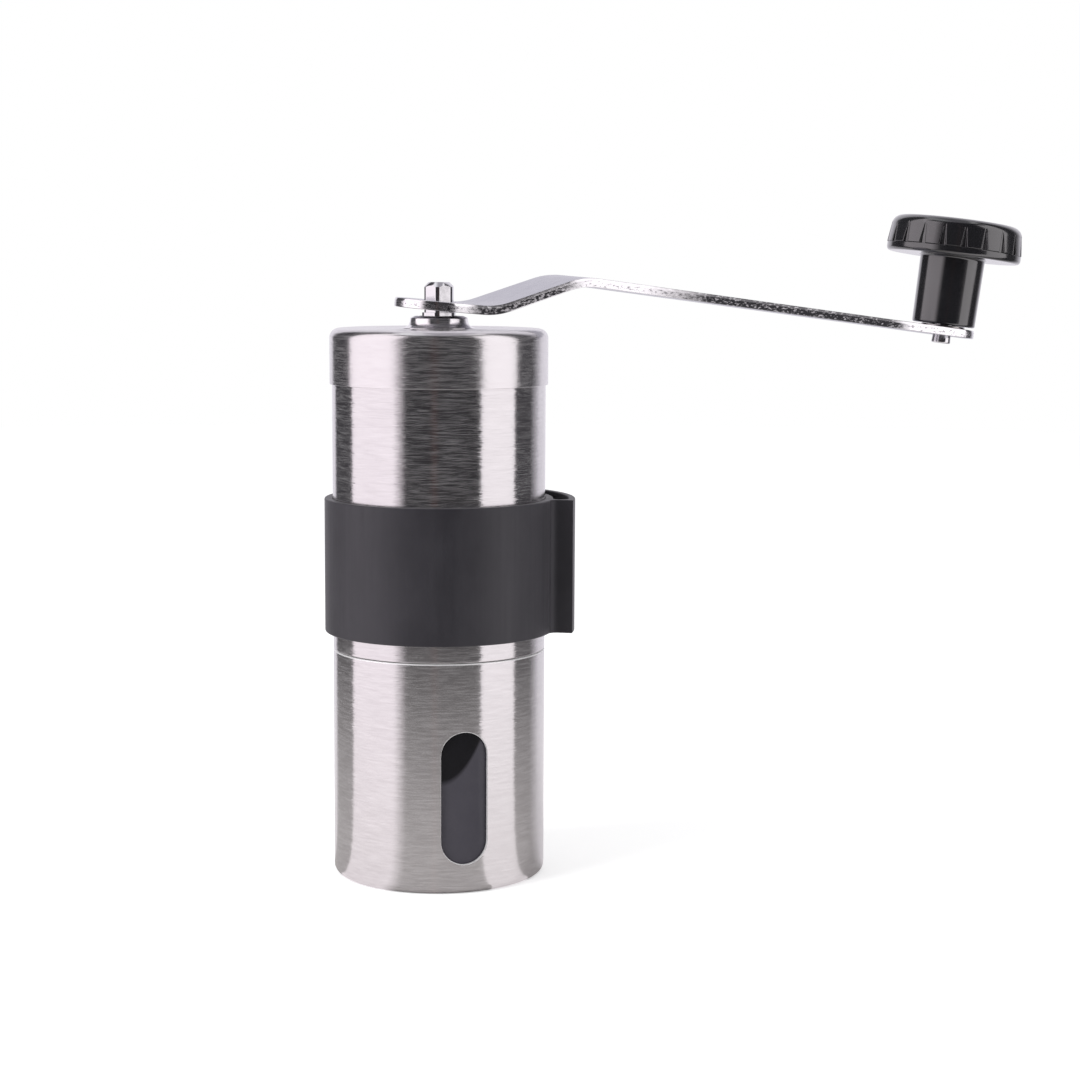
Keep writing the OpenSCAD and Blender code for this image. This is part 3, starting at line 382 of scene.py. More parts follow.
@finish_maker
def brushed_shell_finish(tree, base=(0.67, 0.65, 0.66), rough=(0.12, 0.19), lines=0.1, sway=0.011, stray=0.055, stretch=0.8):
    """Steel brushed round the body: short hairlines that each lean a little their own way and a few that
    lean far, deeper scratches, and slow smudges."""
    hair = grain(tree, (600, 600, 8000), 2, 0.6)
    fine = grain(tree, (300, 300, 6500), 3, 0.7)
    wide = grain(tree, (170, 170, 3000), 3, 0.6)
    smudge = grain(tree, (60, 60, 40), 3)
    streak = calc(tree, "MULTIPLY", fine, wide)
    share = spread(tree, streak, 0.0, 1.0, 0.16, 0.36)
    colour = blend_colour(tree, share, (*[c * (1 - lines) for c in base], 1),
                          (*[min(1, c * (1 + lines / 2)) for c in base], 1))
    roughness = calc(tree, "ADD", spread(tree, fine, *rough), spread(tree, smudge, -0.02, 0.03))
    tangent = round_tangent(tree)
    lean = spread(tree, hair, -1.0, 1.0, 0.25, 0.75)
    most = calc(tree, "MULTIPLY_ADD", calc(tree, "MULTIPLY", lean, lean), stray, sway)
    amount = calc(tree, "MULTIPLY", lean, most)
    along = vector_calc(tree, "NORMALIZE", tangent)
    aside = add_node(tree, "ShaderNodeVectorMath", {0: along, "Scale": amount}, operation="SCALE").outputs[0]
    leaning = vector_calc(tree, "ADD", relief(tree, fine, 0.003, 0.4), aside)
    normal = vector_calc(tree, "NORMALIZE", leaning)
    close_finish(tree, Base_Color=colour, Metallic=spread(tree, streak, 1.0, 0.88, 0.2, 0.34), Roughness=roughness,
                 Anisotropic=stretch, Anisotropic_Rotation=0.25,
                 Tangent=tangent, Normal=normal)


@finish_maker
def polished_finish(tree, base=(0.72, 0.71, 0.73), rough=0.07, metal=1.0):
    """Polished plate with faint turning lines and specks."""
    lines = grain(tree, (40, 40, 2600), 3)
    specks = grain(tree, 900, 2)
    worn = worn_edges(tree)
    colour = blend_colour(tree, worn, (*base, 1), (0.82, 0.81, 0.82, 1))
    close_finish(tree, Base_Color=colour, Metallic=metal, Roughness=spread(tree, specks, rough, rough + 0.09),
                 Normal=relief(tree, lines, 0.004, 0.35))


@finish_maker
def mottled_metal_finish(tree, tint_scale, a, b, uneven_scale, rough, bumps):
    """Metal with clouds of two tints, uneven shine, and layers of bumps given as (scale, depth, strength)."""
    normal = None
    for scale, depth, strength in bumps:
        normal = relief(tree, grain(tree, scale, 3), depth, strength, normal)
    close_finish(tree, Base_Color=mottle(tree, grain(tree, tint_scale, 3), a, b), Metallic=1.0,
                 Roughness=spread(tree, grain(tree, uneven_scale, 3), *rough), Normal=normal)


@finish_maker
def rolled_corner_finish(tree):
    """Rounded corner between the flat faces and the cut edge: shiny plating, with painted shade, dark and
    speckled, beside the hub and along the outer part of the arm, standing in for the dark it reflects there."""
    lines = grain(tree, (200, 2600, 2600), 3)
    nicks = grain(tree, 500, 3)
    torn = grain(tree, (1100, 1100, 2400), 3, 0.6)
    reach = reach_from_axis(tree)
    # painted shade: the corner is painted dark and speckled beside the hub and along the outer part of the arm,
    # standing in for the dark it reflects there
    shade = calc(tree, "MAXIMUM", zone(tree, reach, HUB_END, CORNER_SHINES), zone(tree, reach, SPECKLES_START, CORNER_TIP))
    # dull is the dark, speckled colour of the painted shade
    dull = mottle(tree, torn, (0.11, 0.11, 0.115), (0.5, 0.5, 0.51), 0.5, 0.68)
    bright = mottle(tree, nicks, (0.72, 0.71, 0.73), (0.9, 0.89, 0.91), 0.3, 0.6)
    close_finish(tree, Base_Color=blend_colour(tree, shade, bright, dull), Metallic=1.0,
                 Roughness=spread(tree, lines, 0.1, 0.18), Normal=relief(tree, nicks, 0.01, 0.3))


@finish_maker
def sheared_edge_finish(tree):
    """Cut edge of the strip: torn specks under the plating, smoother and with a painted highlight round the
    hub, past the ramp and round the tip, and painted shade farther out, standing in for the bright and dark it
    reflects."""
    torn = grain(tree, (1100, 1100, 2400), 3, 0.6)
    coarse = grain(tree, (420, 420, 700), 3)
    reach = reach_from_axis(tree)
    # painted highlight: the edge is painted bright round the hub, past the ramp and round the tip, where it would
    # reflect the boxes; there it is also smoother and less bumpy
    ends = calc(tree, "MAXIMUM", spread(tree, reach, 1.0, 0.0, *HUB_END), spread(tree, reach, 0.0, 1.0, *EDGE_TIP))
    painted_highlight_and_polish = calc(tree, "MAXIMUM", ends, zone(tree, reach, EDGE_SHINES, EDGE_PAINTED_SHADE))
    # painted shade: farther out the torn specks are painted darker
    thinned = calc(tree, "SUBTRACT", torn, spread(tree, reach, 0.0, 0.05, *SPECKLES_START))
    # dull is the dark colour of the painted shade, bright that of the painted highlight
    dull = mottle(tree, thinned, (0.03, 0.03, 0.033), (0.55, 0.54, 0.56), 0.48, 0.64)
    bright = mottle(tree, torn, (0.3, 0.295, 0.31), (0.92, 0.91, 0.93), 0.36, 0.46)
    roughness = calc(tree, "ADD", spread(tree, torn, 0.2, 0.38), spread(tree, painted_highlight_and_polish, 0.05, -0.06, 0, 1))
    grit = spread(tree, painted_highlight_and_polish, 0.8, 0.03, 0, 1)
    bumps = relief(tree, coarse, 0.03, grit, relief(tree, torn, 0.02, grit))
    close_finish(tree, Base_Color=blend_colour(tree, painted_highlight_and_polish, dull, bright), Metallic=1.0, Roughness=roughness, Normal=bumps)


@finish_maker
def knob_gloss_finish(tree):
    """Glossy black moulding, with fine scuffs and greyer worn edges."""
    scuffs = grain(tree, 260, 4)
    skin_grain = grain(tree, 1700, 2)
    colour = blend_colour(tree, worn_edges(tree, 0.54, 0.66), (0.0075, 0.0075, 0.009, 1), (0.03, 0.03, 0.033, 1))
    close_finish(tree, Base_Color=colour, Roughness=spread(tree, scuffs, 0.15, 0.22), Specular_IOR_Level=1.0, Coat_Weight=0.7,
                 Coat_Roughness=0.06, Coat_IOR=1.6, Normal=relief(tree, skin_grain, 0.004, 0.25))


@finish_maker
def band_rubber_finish(tree):
    """Matt black rubber with a fine skin and dusty patches."""
    skin_grain = grain(tree, 2600, 3, 0.65)
    dust = grain(tree, (110, 110, 60), 4)
    flow = grain(tree, (700, 700, 25), 2)
    colour = mottle(tree, dust, (0.0175, 0.016, 0.0215), (0.025, 0.023, 0.0295), 0.35, 0.7)
    roughness = calc(tree, "ADD", spread(tree, flow, 0.44, 0.56), spread(tree, dust, -0.03, 0.04))
    close_finish(tree, Base_Color=colour, Roughness=roughness, Specular_IOR_Level=0.5, Sheen_Weight=0.12, Sheen_Roughness=0.5,
                 Sheen_Tint=(0.9, 0.88, 0.9, 1), Normal=relief(tree, skin_grain, 0.02, 0.5))


@finish_maker
def smoked_liner_finish(tree):
    """Smoky plastic, black, with a painted reflection of the pale floor, a grey tone, on its lower part up
    to a slanting line."""
    haze = grain(tree, (140, 140, 90), 4)
    turn = radians(WINDOW_TURN)
    across = vector_calc(tree, "DOT_PRODUCT", own_coords(tree), (cos(turn), sin(turn), 0))
    height = split(tree, own_coords(tree)).outputs["Z"]
    aside = calc(tree, "ADD", across, PAINTED_LIGHT_LOW_X)
    line = calc(tree, "MULTIPLY_ADD", calc(tree, "MULTIPLY", aside, aside), PAINTED_LIGHT_BEND, PAINTED_LIGHT_LOW_Z)
    above = calc(tree, "SUBTRACT", height, line)
    # painted reflection: below the line the liner is painted grey, standing in for the pale floor it reflects
    painted_reflection = spread(tree, above, 1.0, 0.0, -0.0006, 0.0008)
    # clean is the liner's own black; the grey colour is the painted reflection
    clean = mottle(tree, haze, (0.004, 0.004, 0.005), (0.008, 0.0075, 0.0095))
    painted_reflection_colour = mottle(tree, haze, (0.052, 0.049, 0.061), (0.062, 0.058, 0.07))
    close_finish(tree, Base_Color=blend_colour(tree, painted_reflection, clean, painted_reflection_colour), Roughness=spread(tree, haze, 0.12, 0.2),
                 Specular_IOR_Level=0.22, Normal=relief(tree, haze, 0.012, 0.3))


@finish_maker
def moulded_black_finish(tree):
    """Fine matt moulding of the inner parts, greyer where coffee dust has rubbed it."""
    spark = grain(tree, 2100, 3)
    dust = grain(tree, 150, 4)
    colour = mottle(tree, dust, (0.018, 0.018, 0.02), (0.045, 0.037, 0.03), 0.4, 0.75)
    colour = blend_colour(tree, worn_edges(tree, 0.53, 0.68), colour, (0.075, 0.072, 0.07, 1))
    close_finish(tree, Base_Color=colour, Roughness=spread(tree, spark, 0.38, 0.55), Normal=relief(tree, spark, 0.02, 0.5))


@finish_maker
def ceramic_finish(tree):
    """Off-white fired ceramic with a dull bloom and coffee in its low places."""
    bloom = grain(tree, 320, 4)
    pores = grain(tree, 2400, 2)
    colour = mottle(tree, bloom, (0.74, 0.71, 0.65), (0.84, 0.82, 0.78))
    hollow = spread(tree, add_node(tree, "ShaderNodeNewGeometry").outputs["Pointiness"], 1.0, 0.0, 0.42, 0.5)
    colour = blend_colour(tree, hollow, colour, (0.36, 0.24, 0.15, 1))
    close_finish(tree, Base_Color=colour, Roughness=spread(tree, bloom, 0.28, 0.42), Specular_IOR_Level=0.6,
                 Subsurface_Weight=0.05, Subsurface_Scale=0.001, Normal=relief(tree, pores, 0.015, 0.4))


brushed_shell = brushed_shell_finish("brushed_shell")
brushed_lid = brushed_shell_finish("brushed_lid", (0.71, 0.69, 0.7), (0.19, 0.25), 0.06, 0.01, 0.06, 0.6)
polished_collar = brushed_shell_finish("polished_collar", (0.88, 0.86, 0.87), (0.17, 0.23), 0.04, 0.004, 0.01)
turned_rim = polished_finish("turned_rim", (0.86, 0.85, 0.86), 0.32, 0.5)
shaft_steel = polished_finish("shaft_steel", (0.7, 0.695, 0.71), 0.1)
# dull plating with the faint grain of rolled strip
crank_plating = mottled_metal_finish("crank_plating", 70, (0.47, 0.47, 0.515), (0.52, 0.52, 0.56), (120, 1500, 1500),
                                     (0.24, 0.34), [((120, 1500, 1500), 0.008, 0.4)])
crank_corner = rolled_corner_finish("crank_rolled_corner")
crank_edge = sheared_edge_finish("crank_sheared_edge")
knob_gloss = knob_gloss_finish("knob_gloss")
band_rubber = band_rubber_finish("band_rubber")
smoked_liner = smoked_liner_finish("smoked_liner")
moulded_black = moulded_black_finish("moulded_black")
burr_ceramic = ceramic_finish("burr_ceramic")
# porous turned bronze, turned brass, and drawn steel with a straw tinge
bush_bronze = mottled_metal_finish("bush_bronze", 2800, (0.42, 0.25, 0.1), (0.66, 0.44, 0.2), 2800, (0.25, 0.42),
                                   [((60, 60, 2500), 0.01, 0.4), (2800, 0.03, 0.4)])
insert_brass = mottled_metal_finish("insert_brass", 300, (0.62, 0.42, 0.15), (0.78, 0.57, 0.24), 300, (0.18, 0.32),
                                    [((80, 80, 3000), 0.01, 0.5)])
spring_steel = mottled_metal_finish("spring_steel", 260, (0.5, 0.5, 0.51), (0.6, 0.57, 0.53), 1500, (0.2, 0.34),
                                    [(1500, 0.008, 0.5)])


# Shapes that repeat, made with Geometry Nodes

def new_tree(name, sizes):
    """Empty tree with a Geometry input, a named input for each size, and a Geometry output."""
    tree = bpy.data.node_groups.new(name, "GeometryNodeTree")
    tree.interface.new_socket("Geometry", in_out="INPUT", socket_type="NodeSocketGeometry")
    for label, kind, value in sizes:
        socket = tree.interface.new_socket(label, in_out="INPUT", socket_type=kind)
        if value is not None:
            socket.default_value = value
    tree.interface.new_socket("Geometry", in_out="OUTPUT", socket_type="NodeSocketGeometry")
    return tree, add_node(tree, "NodeGroupInput")


def end_tree(tree, shape, finish):
    whole = add_node(tree, "GeometryNodeRealizeInstances", {"Geometry": shape})
    painted = add_node(tree, "GeometryNodeSetMaterial", {"Geometry": whole.outputs[0], "Material": finish})
    add_node(tree, "NodeGroupOutput", {0: painted.outputs[0]})


def grown(obj, tree, **values):
    """Mesh that the tree makes from the object; values are set by the identifiers of the tree's inputs."""
    modifier = obj.modifiers.new(tree.name, "NODES")
    modifier.node_group = tree
    for item in tree.interface.items_tree:
        label = item.name.lower().replace(" ", "_")
        if item.in_out == "INPUT" and label in values:
            modifier[item.identifier] = values[label]
    return baked(obj)


def ring_tree():
    """Copies of a shape round the Z axis; copies that meet are joined along their seams."""
    tree, sizes = new_tree("ring_of_copies", [("Copies", "NodeSocketInt", 3), ("First Turn", "NodeSocketFloat", 0.0),
            ("Seam", "NodeSocketFloat", 0.0), ("Finish", "NodeSocketMaterial", None)])
    points = add_node(tree, "GeometryNodePoints", {"Count": sizes.outputs["Copies"]})
    index = add_node(tree, "GeometryNodeInputIndex")
    pitch = calc(tree, "DIVIDE", 2 * pi, sizes.outputs["Copies"])
    angle = calc(tree, "MULTIPLY_ADD", index.outputs[0], pitch, sizes.outputs["First Turn"])
    turn = add_node(tree, "ShaderNodeCombineXYZ", {"Z": angle})
    rotation = add_node(tree, "FunctionNodeEulerToRotation", {0: turn.outputs[0]})
    copies = add_node(tree, "GeometryNodeInstanceOnPoints", {"Points": points.outputs[0], "Instance": sizes.outputs["Geometry"],
            "Rotation": rotation.outputs[0]})
    plain = add_node(tree, "GeometryNodeRealizeInstances", {"Geometry": copies.outputs[0]})
    joined = add_node(tree, "GeometryNodeMergeByDistance", {"Geometry": plain.outputs[0], "Distance": sizes.outputs["Seam"]})
    end_tree(tree, joined.outputs[0], sizes.outputs["Finish"])
    return tree


def coil_tree():
    """Round wire wound into an open coil that stands on the Z axis."""
    tree, sizes = new_tree("wire_coil", [("Curls", "NodeSocketFloat", 3.0), ("Coil Radius", "NodeSocketFloat", 0.0055),
            ("Wire Radius", "NodeSocketFloat", 0.00045), ("Foot", "NodeSocketFloat", 0.0),
                    ("Rise", "NodeSocketFloat", 0.0046), ("Finish", "NodeSocketMaterial", None)])
    line = add_node(tree, "GeometryNodeCurveSpiral", {"Resolution": 40, "Rotations": sizes.outputs["Curls"],
            "Start Radius": sizes.outputs["Coil Radius"],
                    "End Radius": sizes.outputs["Coil Radius"],
                            "Height": sizes.outputs["Rise"]})
    ring = add_node(tree, "GeometryNodeCurvePrimitiveCircle", {"Resolution": 16, "Radius": sizes.outputs["Wire Radius"]})
    wire = add_node(tree, "GeometryNodeCurveToMesh", {"Curve": line.outputs[0], "Profile Curve": ring.outputs[0],
            "Fill Caps": True})
    lift = add_node(tree, "ShaderNodeCombineXYZ", {"Z": sizes.outputs["Foot"]})
    placed = add_node(tree, "GeometryNodeTransform", {"Geometry": wire.outputs[0], "Translation": lift.outputs[0]})
    end_tree(tree, placed.outputs[0], sizes.outputs["Finish"])
    return tree


ring_of_copies = ring_tree()
wire_coil = coil_tree()


# Cup

def cup_shell_shape():
    """Pressed cup with its slot window; the wall round the window follows the slot."""
    segments, half, rows = 192, 10, 12
    z_rows = [3.3 + (40.5 - 3.3) * i / rows for i in range(rows + 1)]
    bore = BODY_R - WALL
    foot = rounded([(BODY_R, 20), (BODY_R, 0, FOOT_ROUND), (0, 0)], 8)[1:-1]
    inside = rounded([(0, WALL), (bore, WALL, FOOT_ROUND - WALL), (bore, 20)], 8)[1:-1]
    groove = [(16.75, 0), (16.85, 0.05), (16.95, 0.22), (17.05, 0.25), (17.75, 0.25), (17.85, 0.22), (17.95, 0.05), (18.05, 0)]
    outline = [(0, 0), *groove]
    outline += list(reversed(foot)) + [(BODY_R, z) for z in z_rows]
    outline += rounded([(BODY_R, 45), (BODY_R, CUP_H, 0.34), (bore, CUP_H, 0.15), (bore, 45)], 6)[1:-1]
    outline += [(bore, z) for z in reversed(z_rows)] + list(reversed(inside)) + [(0, WALL)]
    bm = bmesh.new()
    rings = [ring_verts(bm, r, z, segments) for r, z in outline]
    # the slot's middle lies on a column of the mesh after the last turn
    middle = segments * 3 // 4
    outer_rows = [outline.index((BODY_R, z)) for z in z_rows]
    inner_rows = [outline.index((bore, z)) for z in z_rows]
    window = set(outer_rows[:-1]) | set(inner_rows[1:])
    for i, (a, b) in enumerate(zip(rings, rings[1:])):
        for k in range(segments):
            if i in window and middle - half <= k < middle + half:
                continue
            facet(bm, a, b, k)

    def border(row_ids):
        columns = range(middle - half, middle + half + 1)
        lower = [rings[row_ids[0]][k] for k in columns]
        right = [rings[i][middle + half] for i in row_ids[1:]]
        upper = [rings[row_ids[-1]][k] for k in reversed(columns)][1:]
        left = [rings[i][middle - half] for i in reversed(row_ids)][1:-1]
        return lower + right + upper + left

    r_slot, straight = WINDOW_W / 2, (WINDOW_H - WINDOW_W) / 2

    def slot_loop(grow, radius):
        r = r_slot + grow
        flat = [(-r * cos(pi * k / (2 * half)), -straight - r * sin(pi * k / (2 * half)))
                for k in range(2 * half + 1)]
        flat += [(r, -straight + 2 * straight * i / rows) for i in range(1, rows + 1)]
        flat += [(r * cos(pi * k / (2 * half)), straight + r * sin(pi * k / (2 * half)))
                 for k in range(1, 2 * half + 1)]
        flat += [(-r, straight - 2 * straight * i / rows) for i in range(1, rows)]
        return [(x * MM, -sqrt(radius ** 2 - x ** 2) * MM, (WINDOW_Z + z) * MM) for x, z in flat]

    edge = 0.14

    def eased(start, radius, shares):
        """Loops on the wall that lead from the columns of the mesh over to the slot."""
        for share in shares:
            loops.append([])
            for v, w in zip(start, slot_loop(edge + HOLD, radius)):
                p = v.co.lerp(Vector(w), share)
                flat = Vector((p.x, p.y, 0)).normalized() * radius * MM
                loops[-1].append(bm.verts.new((flat.x, flat.y, p.z)))

    loops = [border(outer_rows)]
    eased(loops[0], BODY_R, (0.2, 0.4, 0.6, 0.8, 1.0))
    for a in (0, 30, 60, 90):
        s, c = sin(radians(a)), cos(radians(a))
        loops.append([bm.verts.new(p) for p in slot_loop(edge * (1 - s), BODY_R - edge * (1 - c))])
    for a in (90, 60, 30, 0):
        s, c = sin(radians(a)), cos(radians(a))
        loops.append([bm.verts.new(p) for p in slot_loop(edge * (1 - s), bore + edge * (1 - c))])
    inner = border(inner_rows)
    eased(inner, bore, (1.0, 0.7, 0.35))
    loops.append(inner)
    for a, b in zip(loops, loops[1:]):
        skin(bm, a, b)
    bmesh.ops.recalc_face_normals(bm, faces=bm.faces)
    for face in bm.faces:
        centre = face.calc_center_median() / MM
        top_rim = centre.z > CUP_H - 0.34 and face.normal.z > 0.1
        slot_rim = 4 < centre.z < 40 and bore + 0.05 < centre.xy.length < BODY_R - 0.01
        face.material_index = 1 if top_rim or slot_rim else 0
    return put(bm, turn_z(WINDOW_TURN))


piece("cup_shell_pressed", cup_shell_shape(), [brushed_shell, turned_rim], "cup", "brushed_shell", "cup_shell")

liner = lathe(rounded([(0, LINER_Z0), (LINER_R, LINER_Z0, FOOT_ROUND), (LINER_R, LINER_Z1, 0.3),
                       (LINER_R - LINER_WALL, LINER_Z1, 0.3), (LINER_R - LINER_WALL, LINER_Z0 + LINER_WALL, 0.7),
                       (0, LINER_Z0 + LINER_WALL)]))
piece("cup_liner_moulded", liner, smoked_liner, "cup", "liner_plastic", "cup_liner")


# Body

tube = lathe(rounded([(BODY_R - WALL, TUBE_Z0, 0.1), (BODY_R, TUBE_Z0, 0.2), (BODY_R, TUBE_Z1, 0.2),
                      (BODY_R - WALL, TUBE_Z1, 0.1)]))
piece("body_tube_brushed", tube, brushed_shell, "housing", "brushed_shell", "body_tube")


def band_outlines():
    """The band, its loop and their fillets from above, then the bore and the slot as holes."""
    fillet_at = BAND_R + LOOP_FILLET
    off = degrees(asin(LOOP_FILLET / fillet_at))
    turn = LOOP_HALF + off
    far = on_circle(fillet_at, turn)
    near = (far[0], -far[1])
    outer = arc((0, 0), LOOP_R, -LOOP_HALF, LOOP_HALF) + arc(far, LOOP_FILLET, LOOP_HALF - 90, turn - 180, 8)
    outer += arc((0, 0), BAND_R, turn + 1.5, 360 - turn - 1.5) + arc(near, LOOP_FILLET, 180 - turn, 90 - LOOP_HALF, 8)
    clean = [p for i, p in enumerate(outer) if (Vector(p) - Vector(outer[i - 1])).length > 0.02]
    bore = arc((0, 0), BODY_R + 0.05, 360, 2)
    middle, wide = (BAND_R + LOOP_R - LOOP_WALL) / 2, (LOOP_R - LOOP_WALL - BAND_R) / 2
    end = LOOP_HALF - degrees(asin(LOOP_WALL / LOOP_R)) - degrees(wide / middle)
    cap_far = on_circle(middle, end)
    cap_near = (cap_far[0], -cap_far[1])
    slot = arc((0, 0), middle + wide, end, -end) + arc(cap_near, wide, -end, -end - 180, 12)[1:]
    slot += arc((0, 0), middle - wide, -end, end)[1:] + arc(cap_far, wide, end + 180, end, 12)[1:-1]
    return [clean, bore, slot]


band_rims = round_levels(0.28, BAND_Z0)
band_rims += [(inset, BAND_Z0 + BAND_Z1 - z) for inset, z in reversed(band_rims)]
band = put(slab(band_outlines(), band_rims), turn_z(WINDOW_TURN))
piece("grip_band_moulded", band, band_rubber, "housing", "band_rubber", "grip_band")

for inner_node, finish, slot_name, edge in (("burr_housing", moulded_black, "housing_plastic", 0.15),
        ("hopper_bridge", moulded_black, "housing_plastic", 0.2),
                ("upper_bush", bush_bronze, "bush_bronze", 0.12),
                        ("lower_bush", bush_bronze, "bush_bronze", 0.12),
                        ("outer_burr", burr_ceramic, "burr_ceramic", 0.05),
                        ("burr_retainer", moulded_black, "housing_plastic", 0.15)):
    copied(inner_node, finish, "housing", slot_name, edge)


SCREW_REACH = 19.71


def screw_shape():
    """One slotted screw, head down, at its place before the turn."""
    head = rounded([(0, 49.75), (1.8, 49.75, 0.45), (1.8, 51.05, 0.08), (1.0, 51.05), (1.0, 59.05, 0.3), (0, 59.05)], 4)
    screw = loose(put(lathe(head, 32), Matrix.Translation((SCREW_REACH * MM, 0, 0))), "screw_blank")
    bm = bmesh.new()
    place = Matrix.Translation((SCREW_REACH * MM, 0, 49.85 * MM)) @ Matrix.Diagonal((6 * MM, 0.6 * MM, 1.0 * MM, 1))
    bmesh.ops.create_cube(bm, size=1.0, matrix=place)
    cutter = loose(bm, "screw_slot")
    add_modifier(screw, "BOOLEAN", operation="DIFFERENCE", object=cutter, solver="EXACT")
    return screw, cutter


screw, cutter = screw_shape()
screws = grown(screw, ring_of_copies, copies=3, finish=spring_steel)
bpy.data.objects.remove(cutter)
piece("retainer_screws_slotted", screws, spring_steel, "housing", "spring_steel", "retainer_screws")


# Lid

lid = lathe(rounded([(LID_IN_R, LID_Z0, 0.12), (LID_R, LID_Z0, 0.1), (LID_R, LID_Z1, LID_ROUND), (5.35, LID_Z1, 0.1),
                     (5.35, LID_Z1 - LID_TOP, 0.1), (LID_IN_R, LID_Z1 - LID_TOP, LID_ROUND - 0.5)], 10))
piece("lid_cover_pressed", lid, brushed_lid, "lid", "brushed_shell", "lid_cover")

under = LID_Z1 - LID_TOP
foot_z, neck_z = LID_Z1 + 0.1, COLLAR_Z1 - COLLAR_BEVEL
flare = [(COLLAR_FOOT_R - inward, foot_z + up) for inward, up in
         ((0.25, 0.03), (0.5, 0.1), (0.75, 0.22), (1.0, 0.38), (1.22, 0.58), (1.4, 0.82), (1.54, 1.15), (1.62, 1.55))]
collar = lathe(rounded([(4.5, under - 0.7, 0.12), (6.5, under - 0.7, 0.2), (6.5, under), (5.3, under), (5.3, LID_Z1),
                        (COLLAR_FOOT_R, LID_Z1), (COLLAR_FOOT_R, foot_z, 0.04), *flare, (COLLAR_R, neck_z, 0.22),
                        (COLLAR_TOP_R, COLLAR_Z1, 0.15), (4.5, COLLAR_Z1, 0.15)], 6))
piece("lid_collar_polished", collar, polished_collar, "lid", "polished_collar", "lid_collar")
copied("lid_liner", moulded_black, "lid", "housing_plastic", 0.2)


# Drive

def shaft_shape():
    """Shaft from its threaded end, past the flats and the clip groove, to the two hexagons."""
    round_r, flat, waist_flat, tip_r, tip_flat, clip_r = 4.0, 3.0, 3.7, 3.5, 3.21, 3.4
    breaks = {0.0}
    for i in range(6):
        mid = 30 + 60 * i
        for off in (degrees(acos(waist_flat / round_r)), degrees(acos(tip_flat / tip_r))):
            breaks |= {(mid - off) % 360, (mid + off) % 360}
    for side in (90, 270):
        off = degrees(acos(flat / round_r))
        breaks |= {(side - off) % 360, (side + off) % 360}
    angles = sorted(breaks | {a for a in range(0, 360, 3) if all(abs(a - b) > 0.7 for b in breaks)})

    def circle(r, z):
        return [(r, z)] * len(angles)

    def flatted(z):
        return [(min(round_r, flat / max(1e-6, abs(sin(radians(a))))), z) for a in angles]

    def hexagon(z, apothem, r):
        return [(min(r, apothem / cos(radians((a % 60) - 30))), z) for a in angles]

    rings = []
    pitch, turns_z0, turns_z1 = 1.0, 45.45, 55.05
    steps = int((turns_z1 - turns_z0) / 0.125)
    for i in range(steps + 1):
        z = turns_z0 + (turns_z1 - turns_z0) * i / steps
        end = min(1.0, (z - turns_z0) / 0.5 + 0.2, (turns_z1 - z) / 0.5 + 0.2)
        rings.append([(3.0 - 0.5 * end * abs(2 * (((z - turns_z0) / pitch - a / 360) % 1) - 1) ** 1.2 - 0.25 * (1 - end), z)
                      for a in angles])
    rings += [flatted(55.05), flatted(77.15), circle(round_r, 77.15), circle(round_r, 87.05), circle(clip_r, 87.05),
              circle(clip_r, 87.95), circle(round_r, 87.95), circle(round_r, SHOULDER_Z - 5),
              hexagon(SHOULDER_Z - 5, waist_flat, round_r), hexagon(SHOULDER_Z, waist_flat, round_r)]
    tip = hexagon(SHOULDER_Z, tip_flat, tip_r)
    rings += [tip, [(r, TIP_Z - 1.1 + tip_r - r) for r, _ in tip], circle(2.4, TIP_Z)]
    return put(polar(rings, angles), turn_z(CRANK_ANGLE))


shaft = loose(shaft_shape(), "shaft_blank")
add_modifier(shaft, "BEVEL", width=0.07 * MM, segments=2, limit_method="ANGLE", angle_limit=radians(14))
shaft = piece("drive_shaft_turned", baked(shaft), shaft_steel, "drive", "shaft_steel", "drive_shaft", sharp=40)
add_modifier(shaft, "WEIGHTED_NORMAL", keep_sharp=True, weight=50)
copied("shaft_clip", spring_steel, "drive", "spring_steel", 0.1)
copied("thrust_washer", spring_steel, "drive", "spring_steel", 0.1)

coil_seed = loose(bmesh.new(), "coil_seed")
coil = grown(coil_seed, wire_coil, curls=3.0, coil_radius=5.5 * MM, wire_radius=0.45 * MM, foot=72.07 * MM, rise=4.58 * MM,
             finish=spring_steel)
spring = piece("burr_spring_coiled", coil, spring_steel, "drive", "spring_steel", "burr_spring", sharp=40)
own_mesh(spring)

copied("inner_burr", burr_ceramic, "burr_carriage", "burr_ceramic", 0.05)
copied("burr_driver", spring_steel, "burr_carriage", "spring_steel", 0.1)
copied("adjuster_dial", moulded_black, "adjuster", "housing_plastic", 0.25)
copied("dial_insert", insert_brass, "adjuster", "insert_brass", 0.12)


# Crank

def arm_heights(x):
    """Height of the strip's middle and its slope at x along the arm, with both bends rounded."""
    ramp, fall = radians(RAMP), radians(FALL)
    mid_r = BEND_R + ARM_T / 2
    x2, z2 = BEND_X + RAMP_L * cos(ramp), RAMP_L * sin(ramp)
    back1, back2 = mid_r * tan(ramp / 2), mid_r * tan((ramp + fall) / 2)
    if x < BEND_X - back1:
        return 0.0, 0.0
    if x < BEND_X + back1 * cos(ramp):
        slope = asin(min(1, (x - BEND_X + back1) / mid_r))
        return mid_r * (1 - cos(slope)), slope
    if x < x2 - back2 * cos(ramp):
        return (x - BEND_X) * tan(ramp), ramp
    if x < x2 + back2 * cos(fall):
        start = Vector((x2 - back2 * cos(ramp), z2 - back2 * sin(ramp)))
        centre = start + mid_r * Vector((sin(ramp), -cos(ramp)))
        slope = asin(max(-1, min(1, (centre.x - x) / mid_r)))
        return centre.y + mid_r * cos(slope), slope
    return z2 - (x - x2) * tan(fall), -fall


